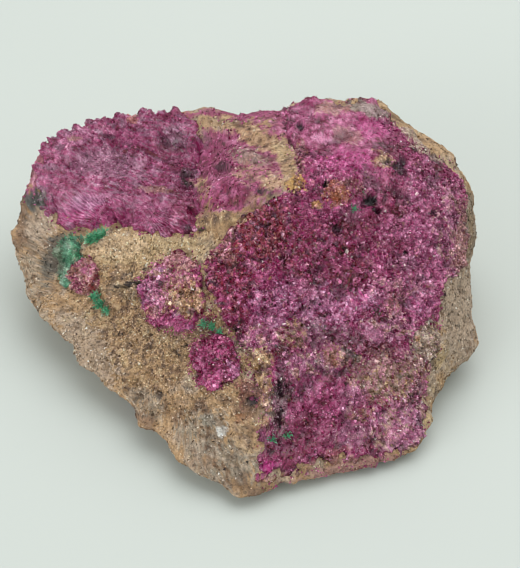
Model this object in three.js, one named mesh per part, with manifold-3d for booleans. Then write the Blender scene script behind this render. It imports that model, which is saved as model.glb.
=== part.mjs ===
// A cobaltoan dolomite cluster: pink crystal crusts and malachite sprays on a
// lump of tan dolomite rock. Millimetres, +Z up. The lump rests on a flat cut at
// z = 0, with the middle of its bounding box over the origin, its broad pink
// face sloping down to -Y and its terrace at the left, on -X.
import * as THREE from 'three';
import { ConvexHull } from 'three/addons/math/ConvexHull.js';
import { SimplexNoise } from 'three/addons/math/SimplexNoise.js';
import { mergeVertices } from 'three/addons/utils/BufferGeometryUtils.js';
import Module from 'manifold-3d';

const wasm = await Module();
wasm.setup();

// ---- driving dimensions, mm ----

const SEAM = 0.3;              // clearance between a crust or spray and its bed
const UPWARD = new THREE.Vector3(0, 0, 1);
const HEART = new THREE.Vector3(-0.75, 2.4, 9);   // all radii start here
// brings the middle of the bounding box over the origin
const TO_ORIGIN = new THREE.Vector3(-0.05, -0.28, 0);
const EDGE_SHARPNESS = 64;     // the higher, the sharper the lump's edges
const LUMP_CELLS = 12;         // grid cells along each side of the lump's grid
const LUMP_PROPORTION = new THREE.Vector3(36, 30, 15);   // evens out the grid

// The lump's corners, where its broken faces meet.
const CORNERS = [
  // round the outline, from the front tip clockwise over the left end
  [0.1, -31.2, 2.0], [-6.2, -28.4, 2.6], [-11.4, -23.2, 4.0], [-15.6, -17.1, 5.0],
  [-23.4, -11.2, 5.0], [-28.7, -2.1, 6.0], [-33.7, 4.6, 7.0], [-36.0, 11.9, 10.5],
  [-35.5, 17.9, 14.0], [-33.9, 24.8, 17.0], [-29.8, 30.2, 19.2], [-19.8, 31.0, 21.0],
  [-7.1, 28.6, 21.9], [6.9, 27.8, 23.4], [12.8, 30.4, 26.2], [20.4, 29.6, 26.4],
  [24.9, 25.2, 25.2], [31.5, 20.6, 23.3], [34.0, 15.9, 21.0], [33.8, 7.1, 14.5],
  [34.3, 2.0, 9.0], [35.6, -2.2, 5.4], [29.9, -13.6, 4.0], [28.6, -18.6, 2.6],
  [24.9, -22.6, 1.6], [13.9, -26.6, 1.2],
  // along the crest and down the left slope
  [-4.4, 9.5, 24.5], [2.5, 7.2, 27.3], [12.4, 7.1, 28.0], [23.6, 11.2, 27.0],
  [29.2, 8.4, 23.0], [-14.0, -4.7, 11.5],
  // low at the back and on the right
  [-30.8, 19.4, 1.5], [-25.8, 27.4, 3.0], [-9.8, 29.9, 3.0], [10.2, 30.4, 3.0],
  [24.2, 28.4, 3.0], [35.2, 18.4, 16.0], [35.5, 16.4, 5.0], [-28.8, 9.4, 1.0],
  // the underside
  [0.2, -25.6, -0.7], [-7.8, -18.6, -0.7], [-13.8, -8.6, -0.7], [-21.8, 0.4, -0.7],
  [32.2, 3.4, -0.7], [31.2, 13.4, -0.7], [26.2, -10.6, -0.7], [22.2, -19.6, -0.7],
  [12.2, -22.6, -0.7],
];

// The terrace at the left: a shallow floor with a steep wall on its right.
const TERRACE = {
  middle: new THREE.Vector2(-17.2, 18.8),
  reach: new THREE.Vector2(16.6, 10.4),
  wall: [0.56, 1.06],          // share of the reach over which the wall rises
  drop: 5.8,                   // at the foot of the right wall
  shallow: 0.3,                // share of the drop that is left at the far left
  slope: [-34, -12],           // x over which the floor falls
  lowest: 11,                  // nothing under this height is touched
};

// Swellings (rise > 0) and dents (rise < 0) of the lump: middle, reach along
// X, Y and Z, and how far the middle moves out.
const SWELLINGS = [
  // the lip of the ledge under the terrace, and the recess below it
  [[-20.5, 1.0, 12.6], [5, 5, 3.5], 1.3],
  [[-14.5, -0.6, 14.9], [6, 5, 3.5], 1.4],
  [[-9.0, -1.2, 17.0], [5, 5, 4], 0.8],
  [[-17.0, -4.5, 10.0], [8, 5, 3.5], -1.1],
  // the pink shoulder beside the lip
  [[-10.6, -4.6, 14.6], [5.5, 5.5, 4.5], 0.9],
  // lumps of the left end
  [[-33.0, 12.2, 12.0], [4.5, 4.5, 4], 0.9],
  [[-32.0, 6.2, 9.0], [4.5, 4.5, 3.5], 1.1],
  [[-28.6, 1.0, 7.6], [4.5, 4, 3], 0.9],
  [[-28.2, 9.0, 13.2], [4, 4, 3], 0.8],
  // the lower left slope
  [[-22.5, -6.5, 7.0], [5.5, 4.5, 4], 0.8],
  [[-16.4, -14.6, 5.2], [6, 5, 3.5], -2.2],
  [[-27.4, -5.4, 5.4], [5, 4.5, 3], -1.6],
  [[-10.6, -20.4, 5.0], [5.5, 5, 3.5], -2.6],
  [[-5.0, -24.0, 5.0], [6, 5, 4], 0.7],
  // the waist and the lump on the right
  [[28.6, -14.6, 5.0], [6, 9, 9], -2.3],
  [[34.4, -2.4, 5.2], [5, 5, 4.5], 1.0],
  [[34.6, 16.6, 13.0], [5, 6, 11], 0.7],
  // the crest and the top
  [[-2.4, 16.5, 23.4], [4.5, 5, 5], 1.0],
  [[4.0, 20.5, 25.5], [5, 5, 4], 0.7],
  [[13.0, 20.0, 27.0], [8, 6, 4], -0.8],
  [[1.0, 29.0, 23.6], [8.5, 6, 6], -1.7],
  [[20.0, 14.0, 27.4], [5, 4, 4], 0.6],
  // the broad pink face
  [[4.0, 1.0, 23.4], [7, 6, 5], -0.9],
  [[16.5, -6.0, 17.5], [8, 7, 6], 0.8],
  [[4.5, -10.5, 15.4], [6, 6, 6], 0.7],
  [[14.5, -18.5, 8.6], [7, 6, 5], 0.8],
  [[24.5, -6.5, 13.0], [5, 6, 5], -0.8],
  // slight trims round the outline
  [[35.0, 5.0, 8.0], [5, 14, 10], -1.0],
  [[34.8, 15.0, 15.0], [4, 6, 7], -0.6],
  [[31.5, -9.0, 4.5], [5, 6, 6], -1.7],
  [[27.5, -19.0, 2.8], [4, 4, 4], 0.4],
  [[31.0, 20.0, 23.0], [4, 4, 4], 0.5],
  [[23.4, 26.5, 25.5], [5, 5, 5], -0.4],
  [[6.3, 29.0, 24.0], [6, 4, 5], -0.8],
  [[-28.8, 29.5, 19.0], [5, 5, 4], -0.8],
  [[-19.0, 30.5, 20.5], [16, 4, 4], -0.7],
  [[-35.0, 17.5, 13.5], [4, 5, 5], 0.5],
  [[-34.5, 6.5, 8.0], [4, 5, 5], -0.8],
  [[-30.0, -1.5, 6.0], [5, 5, 4], -0.8],
  [[-23.0, -11.0, 5.0], [6, 6, 4], -0.9],
  [[-1.2, -30.8, 2.0], [5, 3, 3], 0.5],
  [[13.0, -26.8, 2.0], [8, 4, 4], -0.9],
];

// Crusts of pink crystals. The outline is a run of places on the lump, the
// middle is where its rings start, the depth is its bed's, and lift is how far
// its crystals stand over the rock around it.
const CRUSTS = {
  front_druse: {
    middle: [15.3, -1.6, 20.5],
    outline: [
      [2.5, -27.6, 3.8], [2.5, -23.6, 6.7], [2.5, -19.2, 9.9], [0.5, -13.1, 13.7],
      [-3.2, -8.3, 15.8], [-5.3, -4.4, 17.6], [-5.5, -0.7, 19.0], [-3.9, 1.3, 20.9],
      [-1.0, 3.6, 23.6], [2.5, 5.3, 26.0], [6.3, 6.4, 26.9], [8.1, 10.7, 27.0],
      [7.9, 15.5, 27.0], [5.9, 21.1, 26.1], [6.2, 28.6, 24.2], [12.2, 29.6, 26.1],
      [18.8, 28.6, 26.4], [23.2, 22.6, 26.1], [27.8, 18.3, 24.6], [31.8, 15.8, 21.6],
      [32.7, 10.8, 18.3], [32.5, 4.3, 14.7], [29.6, -1.0, 15.2], [28.3, -5.3, 12.2],
      [27.4, -10.2, 8.9], [26.7, -14.5, 5.2], [25.9, -18.8, 3.2], [23.4, -21.4, 2.7],
      [15.1, -24.7, 3.1], [7.9, -26.5, 3.2],
    ],
    depth: 2.1, lift: 0.35, sectors: 32, rings: 7, beds: 3,
    crystals: 14, crystalSize: [1.7, 2.8], seed: 11,
  },
  hollow_crust: {
    middle: [-17.8, 20.5, 16.6],
    outline: [
      [-31.7, 19.2, 15.2], [-32.4, 22.8, 16.6], [-30.7, 25.9, 18.0], [-28.4, 27.7, 19.1],
      [-22.7, 28.2, 20.0], [-18.6, 28.3, 20.4], [-14.8, 28.2, 21.0], [-9.2, 27.6, 22.0],
      [-7.3, 26.7, 21.4], [-7.4, 23.8, 18.7], [-7.5, 21.8, 18.2], [-7.7, 18.9, 18.3],
      [-7.6, 15.9, 18.7], [-7.4, 9.4, 23.0], [-6.9, 5.8, 21.9], [-6.9, 4.2, 21.0],
      [-10.0, 4.8, 19.7], [-13.0, 6.1, 18.9], [-16.4, 7.6, 18.0], [-17.5, 10.0, 17.0],
      [-19.5, 13.4, 14.7], [-22.4, 12.9, 14.1], [-24.8, 12.9, 13.7], [-27.6, 13.6, 13.5],
      [-29.6, 14.4, 13.8], [-30.8, 16.6, 14.6],
    ],
    depth: 1.9, lift: 0.3, sectors: 22, rings: 5, beds: 3,
    crystals: 0, crystalSize: [1, 1], seed: 12,
  },
  shoulder_druse: {
    middle: [-10.1, -3.8, 16.3],
    outline: [
      [-14.2, 0.4, 16.4], [-12.5, 1.8, 17.2], [-8.9, 2.0, 18.6], [-6.9, -0.1, 18.9],
      [-6.9, -3.8, 17.4], [-6.3, -7.0, 15.9], [-7.9, -8.7, 13.7], [-11.6, -7.8, 13.2],
      [-14.6, -5.2, 12.6], [-15.2, -2.9, 14.0],
    ],
    depth: 1.4, lift: 0.4, sectors: 16, rings: 3, beds: 1,
    crystals: 8, crystalSize: [1.2, 2.2], seed: 13,
  },
  foot_druse: {
    middle: [-4.1, -13.7, 12.7],
    outline: [
      [-7.6, -10.9, 12.9], [-5.9, -10.0, 13.8], [-2.8, -11.0, 14.5], [-1.2, -13.2, 13.4],
      [-0.9, -15.8, 11.8], [-2.7, -17.0, 10.9], [-5.6, -16.1, 10.2], [-7.7, -13.6, 10.9],
    ],
    depth: 1.2, lift: 0.3, sectors: 14, rings: 2, beds: 1,
    crystals: 5, crystalSize: [1.1, 1.8], seed: 14,
  },
  malachite_band: {
    middle: [-26.5, 7.3, 13.0],
    outline: [
      [-27.3, 11.6, 13.6], [-26.3, 11.9, 13.6], [-25.3, 11.6, 13.8], [-24.9, 10.4, 14.1],
      [-25.1, 8.6, 14.2], [-25.5, 7.5, 13.6], [-25.9, 6.3, 12.6], [-26.2, 5.3, 12.0],
      [-26.6, 4.3, 11.4], [-26.9, 3.5, 10.8], [-27.5, 3.6, 10.6], [-28.3, 4.8, 10.7],
      [-28.2, 6.3, 11.5], [-27.9, 7.4, 12.5], [-28.0, 8.8, 13.3], [-27.9, 10.2, 13.6],
    ],
    depth: 0.8, lift: 0.35, sectors: 14, rings: 2, beds: 1,
    crystals: 3, crystalSize: [0.8, 1.4], seed: 16,
  },
  left_druse: {
    middle: [-24.2, 3.2, 12.0],
    outline: [
      [-24.8, 5.2, 12.9], [-23.7, 4.9, 13.2], [-22.6, 3.6, 13.3], [-22.4, 1.8, 13.0],
      [-23.3, 1.2, 11.8], [-24.7, 1.2, 10.6], [-25.4, 2.4, 10.9], [-25.5, 4.0, 11.8],
    ],
    depth: 1.1, lift: 0.5, sectors: 12, rings: 2, beds: 1,
    crystals: 3, crystalSize: [1.0, 1.6], seed: 15,
  },
};

// Round nodules fused to the hollow's crust: place on the crust and radius.
const NODULES = [
  // along the back rim
  [[-30.2, 25.6, 18.0], 1.1], [[-28.2, 27.4, 19.1], 1.2], [[-25.8, 28.0, 19.8], 1.1],
  [[-23.9, 28.4, 20.2], 1.2], [[-22.2, 28.3, 20.4], 1.0], [[-20.6, 28.4, 20.5], 1.3],
  [[-18.6, 28.5, 21.0], 1.2], [[-17.2, 28.5, 21.2], 1.0], [[-14.5, 28.5, 21.7], 1.6],
  [[-12.3, 28.3, 21.4], 1.2], [[-10.3, 27.8, 21.8], 1.4],
  // on the ridge wall
  [[-7.4, 25.4, 20.6], 1.6], [[-4.6, 19.8, 19.9], 1.5], [[-6.0, 9.6, 22.6], 1.5],
  // swollen sprays at the front of the hollow
  [[-11.1, 13.6, 17.1], 2.4], [[-14.9, 13.0, 16.1], 2.0], [[-20.4, 14.6, 15.0], 2.0],
  [[-26.2, 17.3, 14.7], 2.0], [[-8.6, 6.6, 21.0], 2.0],
  // on the floor
  [[-16.4, 24.1, 16.4], 1.5], [[-21.1, 25.3, 16.4], 1.4], [[-25.7, 24.0, 16.5], 1.5],
];

// Knobs of rock fused to the lump on the ridge beside the hollow.
const KNOBS = [
  [[-3.4, 4.6, 22.9], 1.6], [[-0.8, 7.6, 25.2], 1.5], [[0.5, 14.6, 25.8], 1.3],
  [[2.6, 20.5, 26.2], 1.5], [[-2.0, 25.4, 24.1], 1.7], [[-8.6, 3.1, 19.6], 1.1],
];

// Malachite sprays: the place of the middle, the reach of the arms and how many.
const SPRAYS = {
  malachite_tuft_rim: { at: [-22.2, 8.6, 15.6], reach: 1.5, arms: 5, seed: 21 },
  malachite_tuft_ledge: { at: [-21.7, -1.2, 11.5], reach: 1.9, arms: 5, seed: 22 },
  malachite_tuft_middle: { at: [-4.8, -9.2, 14.8], reach: 1.8, arms: 5, seed: 23 },
  malachite_sprig_left: { at: [4.0, -23.2, 6.8], reach: 1.2, arms: 4, seed: 24 },
  malachite_sprig_right: { at: [6.2, -22.7, 6.8], reach: 1.2, arms: 4, seed: 25 },
  malachite_sprig_top: { at: [15.5, 4.6, 24.6], reach: 1.3, arms: 4, seed: 26 },
};

// Pits and clefts cut into a piece: middle, reach along X, Y and Z.
const PITS = [
  // the cleft under the ledge's lip, then caves of the lower left slope
  ['matrix', [-20.4, -0.6, 12.2], [2.6, 2.4, 0.6]],
  ['matrix', [-16.4, -2.0, 14.0], [2.8, 2.4, 0.6]],
  ['matrix', [-16.7, -14.0, 5.5], [1.5, 1.5, 1.0]],
  ['matrix', [-12.9, -16.0, 7.3], [1.7, 1.6, 1.2]],
  ['matrix', [-8.9, -10.6, 12.4], [0.8, 0.8, 0.9]],
  ['matrix', [0.8, -19.4, 9.9], [0.9, 0.9, 0.9]],
  // dark pits and clefts of the broad pink face
  ['front_druse', [3.8, 6.6, 26.7], [1.4, 0.9, 1.0]],
  ['front_druse', [11.3, 7.6, 27.4], [1.0, 0.9, 1.2]],
  ['front_druse', [18.2, 5.8, 24.9], [1.7, 1.5, 1.4]],
  ['front_druse', [20.7, 12.7, 27.6], [1.2, 1.1, 1.2]],
  ['front_druse', [13.1, 1.8, 23.7], [1.0, 0.9, 1.2]],
  ['front_druse', [5.8, -19.5, 9.5], [0.7, 3.4, 3.4]],
];

const NORMAL_STEP = 0.05;      // radians between the places that give a normal
const CRYSTAL_SINK = 0.15;       // share of its size that a crystal's middle lies deep
const GOLDEN_TURN = Math.PI * (3 - Math.sqrt(5));   // spreads the crystals evenly
const SPRAY_STAND = 0.2;        // how far a spray's root stands out of the rock

const ROUGHNESS = [             // wavelength and height of the lump's roughness
  { length: 9, height: 0.55 },
  { length: 4, height: 0.35 },
];
const CRUST_ROUGHNESS = { length: 3.2, height: 0.42 };
const BED_ROOM = 0.55;          // clearance under a crust, whose bed is uneven
const POCKET_MOUTH = 2.4;       // how far over the rock a crust's pocket is open
const BASE = { width: 90, thickness: 20 };   // the block that cuts the base flat

const SMALL_NODULE = 1.9;       // nodules under this radius are plain icosahedra
const NODULE_STAND = 0.2;       // share of its radius that a nodule's middle stands out

const FINISH = {
  matrix: { color: 0xb09876, roughness: 0.9, metalness: 0 },
  druse: { color: 0x9c3f77, roughness: 0.35, metalness: 0 },
  malachite: { color: 0x2e8a5a, roughness: 0.55, metalness: 0 },
};

// ---- helpers ----

// A repeatable stream of numbers from 0 to 1.
function stream(seed) {
  let state = seed * 7919 + 13;
  return () => {
    state = (Math.imul(state, 1664525) + 1013904223) >>> 0;
    return state / 4294967296;
  };
}

const lumpNoise = new SimplexNoise({ random: stream(3) });
const vector = (place) => new THREE.Vector3(...place);

function geometryOf(points, triangles) {
  const geometry = new THREE.BufferGeometry();
  geometry.setAttribute('position', new THREE.Float32BufferAttribute(points, 3));
  geometry.setIndex(triangles);
  return geometry;
}

function solidOf(geometry) {
  const bare = geometry.clone();
  bare.deleteAttribute('normal');
  bare.deleteAttribute('uv');
  const merged = mergeVertices(bare, 1e-4);
  return new wasm.Manifold(new wasm.Mesh({
    numProp: 3,
    vertProperties: new Float32Array(merged.attributes.position.array),
    triVerts: new Uint32Array(merged.index.array),
  }));
}

function geometryFrom(solid) {
  const mesh = solid.getMesh();
  return geometryOf(Array.from(mesh.vertProperties), Array.from(mesh.triVerts));
}

// ---- the lump's form ----

const hull = new ConvexHull().setFromPoints(CORNERS.map((c) => vector(c).sub(HEART)));
const FACES = hull.faces.map((face) => ({ normal: face.normal, distance: face.constant }));

// Distance from the heart to the lump's faces: a power mean over all faces
// rounds the edges between them.
function faceRadius(direction) {
  const shares = FACES.map((f) => Math.max(f.normal.dot(direction), 0) / f.distance);
  const top = Math.max(...shares);
  const sum = shares.reduce((total, share) => total + (share / top) ** EDGE_SHARPNESS, 0);
  return 1 / (top * sum ** (1 / EDGE_SHARPNESS));
}

function terraceDepth(place) {
  const across = Math.abs(place.x - TERRACE.middle.x) / TERRACE.reach.x;
  const along = Math.abs(place.y - TERRACE.middle.y) / TERRACE.reach.y;
  const edge = 1 - THREE.MathUtils.smoothstep(Math.cbrt(across ** 3 + along ** 3), ...TERRACE.wall);
  const fall = THREE.MathUtils.smoothstep(place.x, ...TERRACE.slope);
  const share = TERRACE.shallow + (1 - TERRACE.shallow) * fall;
  return TERRACE.drop * edge * share;
}

function swelling(place) {
  let rise = 0;
  for (const [middle, reach, height] of SWELLINGS) {
    const away = place.clone().sub(vector(middle)).divide(vector(reach)).lengthSq();
    rise += height * Math.max(1 - away, 0) ** 2;
  }
  return rise;
}

function roughness(place, { length, height }) {
  return height * lumpNoise.noise3d(place.x / length, place.y / length, place.z / length);
}

// A place on the lump's smooth form, in a direction from its heart.
function smoothPlace(direction) {
  const place = direction.clone().multiplyScalar(faceRadius(direction)).add(HEART);
  if (place.z > TERRACE.lowest) place.z -= terraceDepth(place);
  return place.addScaledVector(direction, swelling(place));
}

// The way out of the rock there: halfway between the ray and the normal.
function wayOut(direction) {
  const side = UPWARD.clone().cross(direction).normalize();
  const up = direction.clone().cross(side);
  const step = (way, turn) => smoothPlace(direction.clone().addScaledVector(way, turn).normalize());
  const across = step(side, NORMAL_STEP).sub(step(side, -NORMAL_STEP));
  const along = step(up, NORMAL_STEP).sub(step(up, -NORMAL_STEP));
  return across.cross(along).normalize().add(direction).normalize();
}

// A place on the lump, with its roughness if wanted, and lift over its surface.
function onLump(direction, lift = 0, rough = true) {
  const place = smoothPlace(direction);
  const layers = rough ? ROUGHNESS : [];
  const rise = layers.reduce((sum, layer) => sum + roughness(place, layer), lift);
  return place.addScaledVector(wayOut(direction), rise);
}

// The direction from the heart that leads to a place on the lump's top.
function bearing(place) {
  const lifted = vector(place);
  lifted.z += terraceDepth(lifted);
  return lifted.sub(HEART).normalize();
}

// The nearest place on the lump's surface, or at a height over it.
const seat = (place, height = 0) => onLump(bearing(place), height);

// A cube's grid blown up onto the lump.
function lumpGeometry() {
  const grid = new THREE.BoxGeometry(2, 2, 2, LUMP_CELLS, LUMP_CELLS, LUMP_CELLS);
  const spots = grid.attributes.position;
  const direction = new THREE.Vector3();
  for (let i = 0; i < spots.count; i += 1) {
    direction.fromBufferAttribute(spots, i);
    direction.set(...direction.toArray().map((v) => Math.tan(v * Math.PI / 4)));
    direction.multiply(LUMP_PROPORTION).normalize();
    spots.setXYZ(i, ...onLump(direction).toArray());
  }
  return grid;
}

// ---- crusts ----

// A crust's outline as seen from the heart: turn round its middle, and angle.
function crustFrame({ middle, outline }) {
  const axis = bearing(middle);
  const side = UPWARD.clone().cross(axis).normalize();
  const up = axis.clone().cross(side);
  const bearings = outline.map((place) => {
    const direction = bearing(place);
    const angle = Math.acos(direction.dot(axis));
    return { turn: Math.atan2(direction.dot(up), direction.dot(side)), angle };
  });
  bearings.sort((a, b) => a.turn - b.turn);
  return { axis, side, up, bearings };
}

function outlineAngle({ bearings }, turn) {
  const last = bearings.length - 1;
  const next = bearings.findIndex((b) => b.turn > turn);
  const from = next > 0 ? bearings[next - 1] : bearings[last];
  const to = next >= 0 ? bearings[next] : bearings[0];
  const span = THREE.MathUtils.euclideanModulo(to.turn - from.turn, 2 * Math.PI);
  const gone = THREE.MathUtils.euclideanModulo(turn - from.turn, 2 * Math.PI);
  return THREE.MathUtils.lerp(from.angle, to.angle, gone / span);
}

// Direction from the heart at a turn, at a share of the way to the outline.
function crustDirection(frame, turn, share, widen = 0) {
  const angle = share * (outlineAngle(frame, turn) + widen);
  return frame.axis.clone().multiplyScalar(Math.cos(angle))
    .addScaledVector(frame.side, Math.sin(angle) * Math.cos(turn))
    .addScaledVector(frame.up, Math.sin(angle) * Math.sin(turn));
}

// A closed slab over a crust's outline: rings of the outer sheet from its
// middle outwards, then rings of the bed back to the middle.
function slabGeometry(crust, frame, outerPlace, bedPlace, widen) {
  const rows = [];
  for (let k = 1; k <= crust.rings; k += 1) rows.push([k / crust.rings, outerPlace]);
  for (let k = crust.beds; k >= 1; k -= 1) rows.push([k / crust.beds, bedPlace]);
  const points = outerPlace(frame.axis).toArray();
  for (const [share, placeOf] of rows) {
    for (let s = 0; s < crust.sectors; s += 1) {
      const turn = (s / crust.sectors) * 2 * Math.PI - Math.PI;
      points.push(...placeOf(crustDirection(frame, turn, share, widen), share).toArray());
    }
  }
  points.push(...bedPlace(frame.axis).toArray());
  const lastPoint = rows.length * crust.sectors + 1;
  const triangles = [];
  for (let s = 0; s < crust.sectors; s += 1) {
    const t = (s + 1) % crust.sectors;
    triangles.push(0, 1 + s, 1 + t);
    for (let r = 0; r + 1 < rows.length; r += 1) {
      const [a, b] = [1 + r * crust.sectors + s, 1 + r * crust.sectors + t];
      const [c, d] = [a + crust.sectors, b + crust.sectors];
      triangles.push(a, c, b, b, c, d);
    }
    const bed = 1 + (rows.length - 1) * crust.sectors;
    triangles.push(bed + s, lastPoint, bed + t);
  }
  return geometryOf(points, triangles);
}

function crustSlab(crust, frame) {
  const outer = (direction, share = 0) => {
    const rise = roughness(smoothPlace(direction), CRUST_ROUGHNESS);
    return onLump(direction, (crust.lift + rise) * (1 - share ** 6));
  };
  const bed = (direction) => onLump(direction, -crust.depth, false);
  return solidOf(slabGeometry(crust, frame, outer, bed, 0));
}

// The pocket that a crust lies in, a little wider and deeper than the crust, and
// open past the rock's surface.
function crustPocket(crust, frame) {
  const widen = (1.5 * SEAM) / vector(crust.middle).distanceTo(HEART);
  const outer = (direction) => onLump(direction, POCKET_MOUTH, false);
  const bed = (direction) => onLump(direction, -crust.depth - BED_ROOM, false);
  return solidOf(slabGeometry(crust, frame, outer, bed, widen));
}

// A dolomite rhomb: a cube drawn out along its body diagonal, its point outward.
function rhombGeometry(size, place, outward, spin) {
  const rhomb = new THREE.BoxGeometry(size, size, size);
  const diagonal = new THREE.Vector3(1, 1, 1).normalize();
  rhomb.applyQuaternion(new THREE.Quaternion().setFromUnitVectors(diagonal, THREE.Object3D.DEFAULT_UP));
  rhomb.scale(1, 0.8, 1);
  rhomb.rotateY(spin);
  rhomb.applyQuaternion(new THREE.Quaternion().setFromUnitVectors(THREE.Object3D.DEFAULT_UP, outward));
  return rhomb.translate(...place.toArray());
}

function crustCrystals(crust, frame, clearance) {
  const next = stream(crust.seed);
  const crystals = [];
  for (let i = 0; i < crust.crystals; i += 1) {
    const turn = (i * GOLDEN_TURN) % (2 * Math.PI) - Math.PI;
    const share = 0.88 * Math.sqrt((i + next()) / crust.crystals);
    const direction = crustDirection(frame, turn, share);
    const size = THREE.MathUtils.lerp(...crust.crystalSize, next() ** 2);
    const lean = new THREE.Vector3(next() - 0.5, next() - 0.5, next() - 0.5);
    const outward = direction.clone().addScaledVector(lean, 1.1).normalize();
    const place = onLump(direction, crust.lift - CRYSTAL_SINK * size);
    const rhomb = rhombGeometry(size + 2 * clearance, place, outward, next() * Math.PI);
    crystals.push(solidOf(rhomb));
  }
  return crystals;
}

function noduleSolids(nodules, clearance) {
  return nodules.map(([place, radius]) => {
    const detail = radius < SMALL_NODULE ? 0 : 1;
    const nodule = new THREE.IcosahedronGeometry(radius + clearance, detail);
    return solidOf(nodule.translate(...seat(place, NODULE_STAND * radius).toArray()));
  });
}

// ---- malachite sprays ----

// Short stubby arms fanned out from one point over the surface.
function sprayArms({ at, reach, arms, seed }, clearance) {
  const next = stream(seed);
  const root = seat(at, SPRAY_STAND);
  const outward = bearing(at);
  const side = UPWARD.clone().cross(outward).normalize();
  const up = outward.clone().cross(side);
  const solids = [];
  for (let i = 0; i < arms; i += 1) {
    const turn = ((i + 0.5 * next()) / arms) * 2 * Math.PI;
    const length = reach * (0.6 + 0.4 * next());
    const thick = 0.3 * reach * (0.9 + 0.4 * next());
    const along = side.clone().multiplyScalar(Math.cos(turn)).addScaledVector(up, Math.sin(turn));
    const arm = new THREE.OctahedronGeometry(1, 0);
    arm.scale(thick + clearance, 0.55 * length + clearance, thick + clearance);
    arm.applyQuaternion(new THREE.Quaternion().setFromUnitVectors(THREE.Object3D.DEFAULT_UP, along));
    const place = root.clone().addScaledVector(along, 0.45 * length)
      .addScaledVector(outward, 0.25 * next());
    solids.push(solidOf(arm.translate(...place.toArray())));
  }
  return solids;
}

// The largest body of a solid, without the chips that its cuts have freed.
function wholeOf(solid) {
  const bodies = solid.decompose();
  return bodies.reduce((best, body) => (body.volume() > best.volume() ? body : best));
}

const joined = (solids) => solids.reduce((sum, solid) => sum.add(solid));

// ---- the pieces ----

function pitSolid(middle, reach) {
  const pit = new THREE.IcosahedronGeometry(1, 0);
  pit.scale(...reach);
  return solidOf(pit.translate(...seat(middle).toArray()));
}

function baseCut() {
  const block = new THREE.BoxGeometry(BASE.width, BASE.width, BASE.thickness);
  return solidOf(block.translate(0, 0, -BASE.thickness / 2));
}

function cutPits(name, solid) {
  const pits = PITS.filter(([host]) => host === name);
  return pits.reduce((left, [, middle, reach]) => left.subtract(pitSolid(middle, reach)), solid);
}

function cutFromAll(solids, room) {
  for (const name of Object.keys(solids)) solids[name] = solids[name].subtract(room);
}

function buildPieces() {
  const lump = joined([solidOf(lumpGeometry()), ...noduleSolids(KNOBS, 0)]);
  const solids = { matrix: lump.subtract(baseCut()) };
  for (const [name, crust] of Object.entries(CRUSTS)) {
    const frame = crustFrame(crust);
    const grains = (clearance) => (name === 'hollow_crust'
      ? noduleSolids(NODULES, clearance) : crustCrystals(crust, frame, clearance));
    cutFromAll(solids, joined([crustPocket(crust, frame), ...grains(1.2 * SEAM)]));
    solids[name] = joined([crustSlab(crust, frame), ...grains(0)]);
  }
  for (const name of Object.keys(solids)) solids[name] = cutPits(name, solids[name]);
  for (const spray of Object.values(SPRAYS)) {
    cutFromAll(solids, joined(sprayArms(spray, SEAM)));
  }
  for (const [name, solid] of Object.entries(solids)) solids[name] = wholeOf(solid);
  for (const [name, spray] of Object.entries(SPRAYS)) {
    solids[name] = joined(sprayArms(spray, 0));
  }
  return solids;
}

function finishOf(name) {
  if (name.startsWith('malachite')) return FINISH.malachite;
  return name === 'matrix' ? FINISH.matrix : FINISH.druse;
}

const group = new THREE.Group();
group.position.copy(TO_ORIGIN);
for (const [name, solid] of Object.entries(buildPieces())) {
  const material = new THREE.MeshStandardMaterial(finishOf(name));
  const mesh = new THREE.Mesh(geometryFrom(solid), material);
  mesh.name = name;
  group.add(mesh);
}

export default group;
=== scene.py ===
# %% [markdown]
# # A cobaltoan dolomite cluster
# A hand-sized lump of tan dolomite rock. Its front is covered by a crust of small pink
# crystals, its left end is a shallow hollow lined by smoother pink nodules, and a few
# green malachite sprays sit between them. The solids of the lump and of its crusts come
# from the imported model. This lesson gives each of them its fine surface and its finish.
# It starts by loading the imported model.

import math

import bmesh
import bpy
import numpy as np
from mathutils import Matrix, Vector


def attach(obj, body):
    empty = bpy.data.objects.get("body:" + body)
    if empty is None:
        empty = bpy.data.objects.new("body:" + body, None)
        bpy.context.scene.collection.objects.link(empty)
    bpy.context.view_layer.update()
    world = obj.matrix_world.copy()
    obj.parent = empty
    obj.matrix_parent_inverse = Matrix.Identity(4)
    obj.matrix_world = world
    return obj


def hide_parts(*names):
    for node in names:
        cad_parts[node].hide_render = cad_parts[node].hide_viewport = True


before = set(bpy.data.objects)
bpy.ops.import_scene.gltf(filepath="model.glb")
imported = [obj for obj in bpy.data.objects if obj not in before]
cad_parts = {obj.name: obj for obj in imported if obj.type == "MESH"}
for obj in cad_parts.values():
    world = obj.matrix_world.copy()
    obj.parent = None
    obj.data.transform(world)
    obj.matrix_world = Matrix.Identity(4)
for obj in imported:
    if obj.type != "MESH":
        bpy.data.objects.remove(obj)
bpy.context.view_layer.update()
print("nodes:", ", ".join(sorted(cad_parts)))

# %% [markdown]
# ## Two frames and a map sheet
# The rock is measured from a frame of its own, in millimetres. The shared frame is the
# same one moved a little, in metres. Stains and pits are easier to place on a flat map:
# a sheet that lies square to the line from the eye to the middle of the rock, ruled in
# squares of 0.15 mm. Each place on the rock has one place on that sheet.

# %% Frames and the map sheet
TO_ORIGIN = np.array([-0.05, -0.28, 0.0])  # mm, from the rock's frame to the shared one
METRES = 0.001  # metres in a millimetre
AIM = np.array([2.25, 3.4, 11.0])  # what the eye looks at, in the rock's frame
EYE_DISTANCE = 300.0  # mm from there to the eye
LOOK_DOWN = math.radians(45)
SQUARE = 0.15  # mm, one square of the map sheet
SHEET = (520, 568)  # squares across and down

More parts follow.
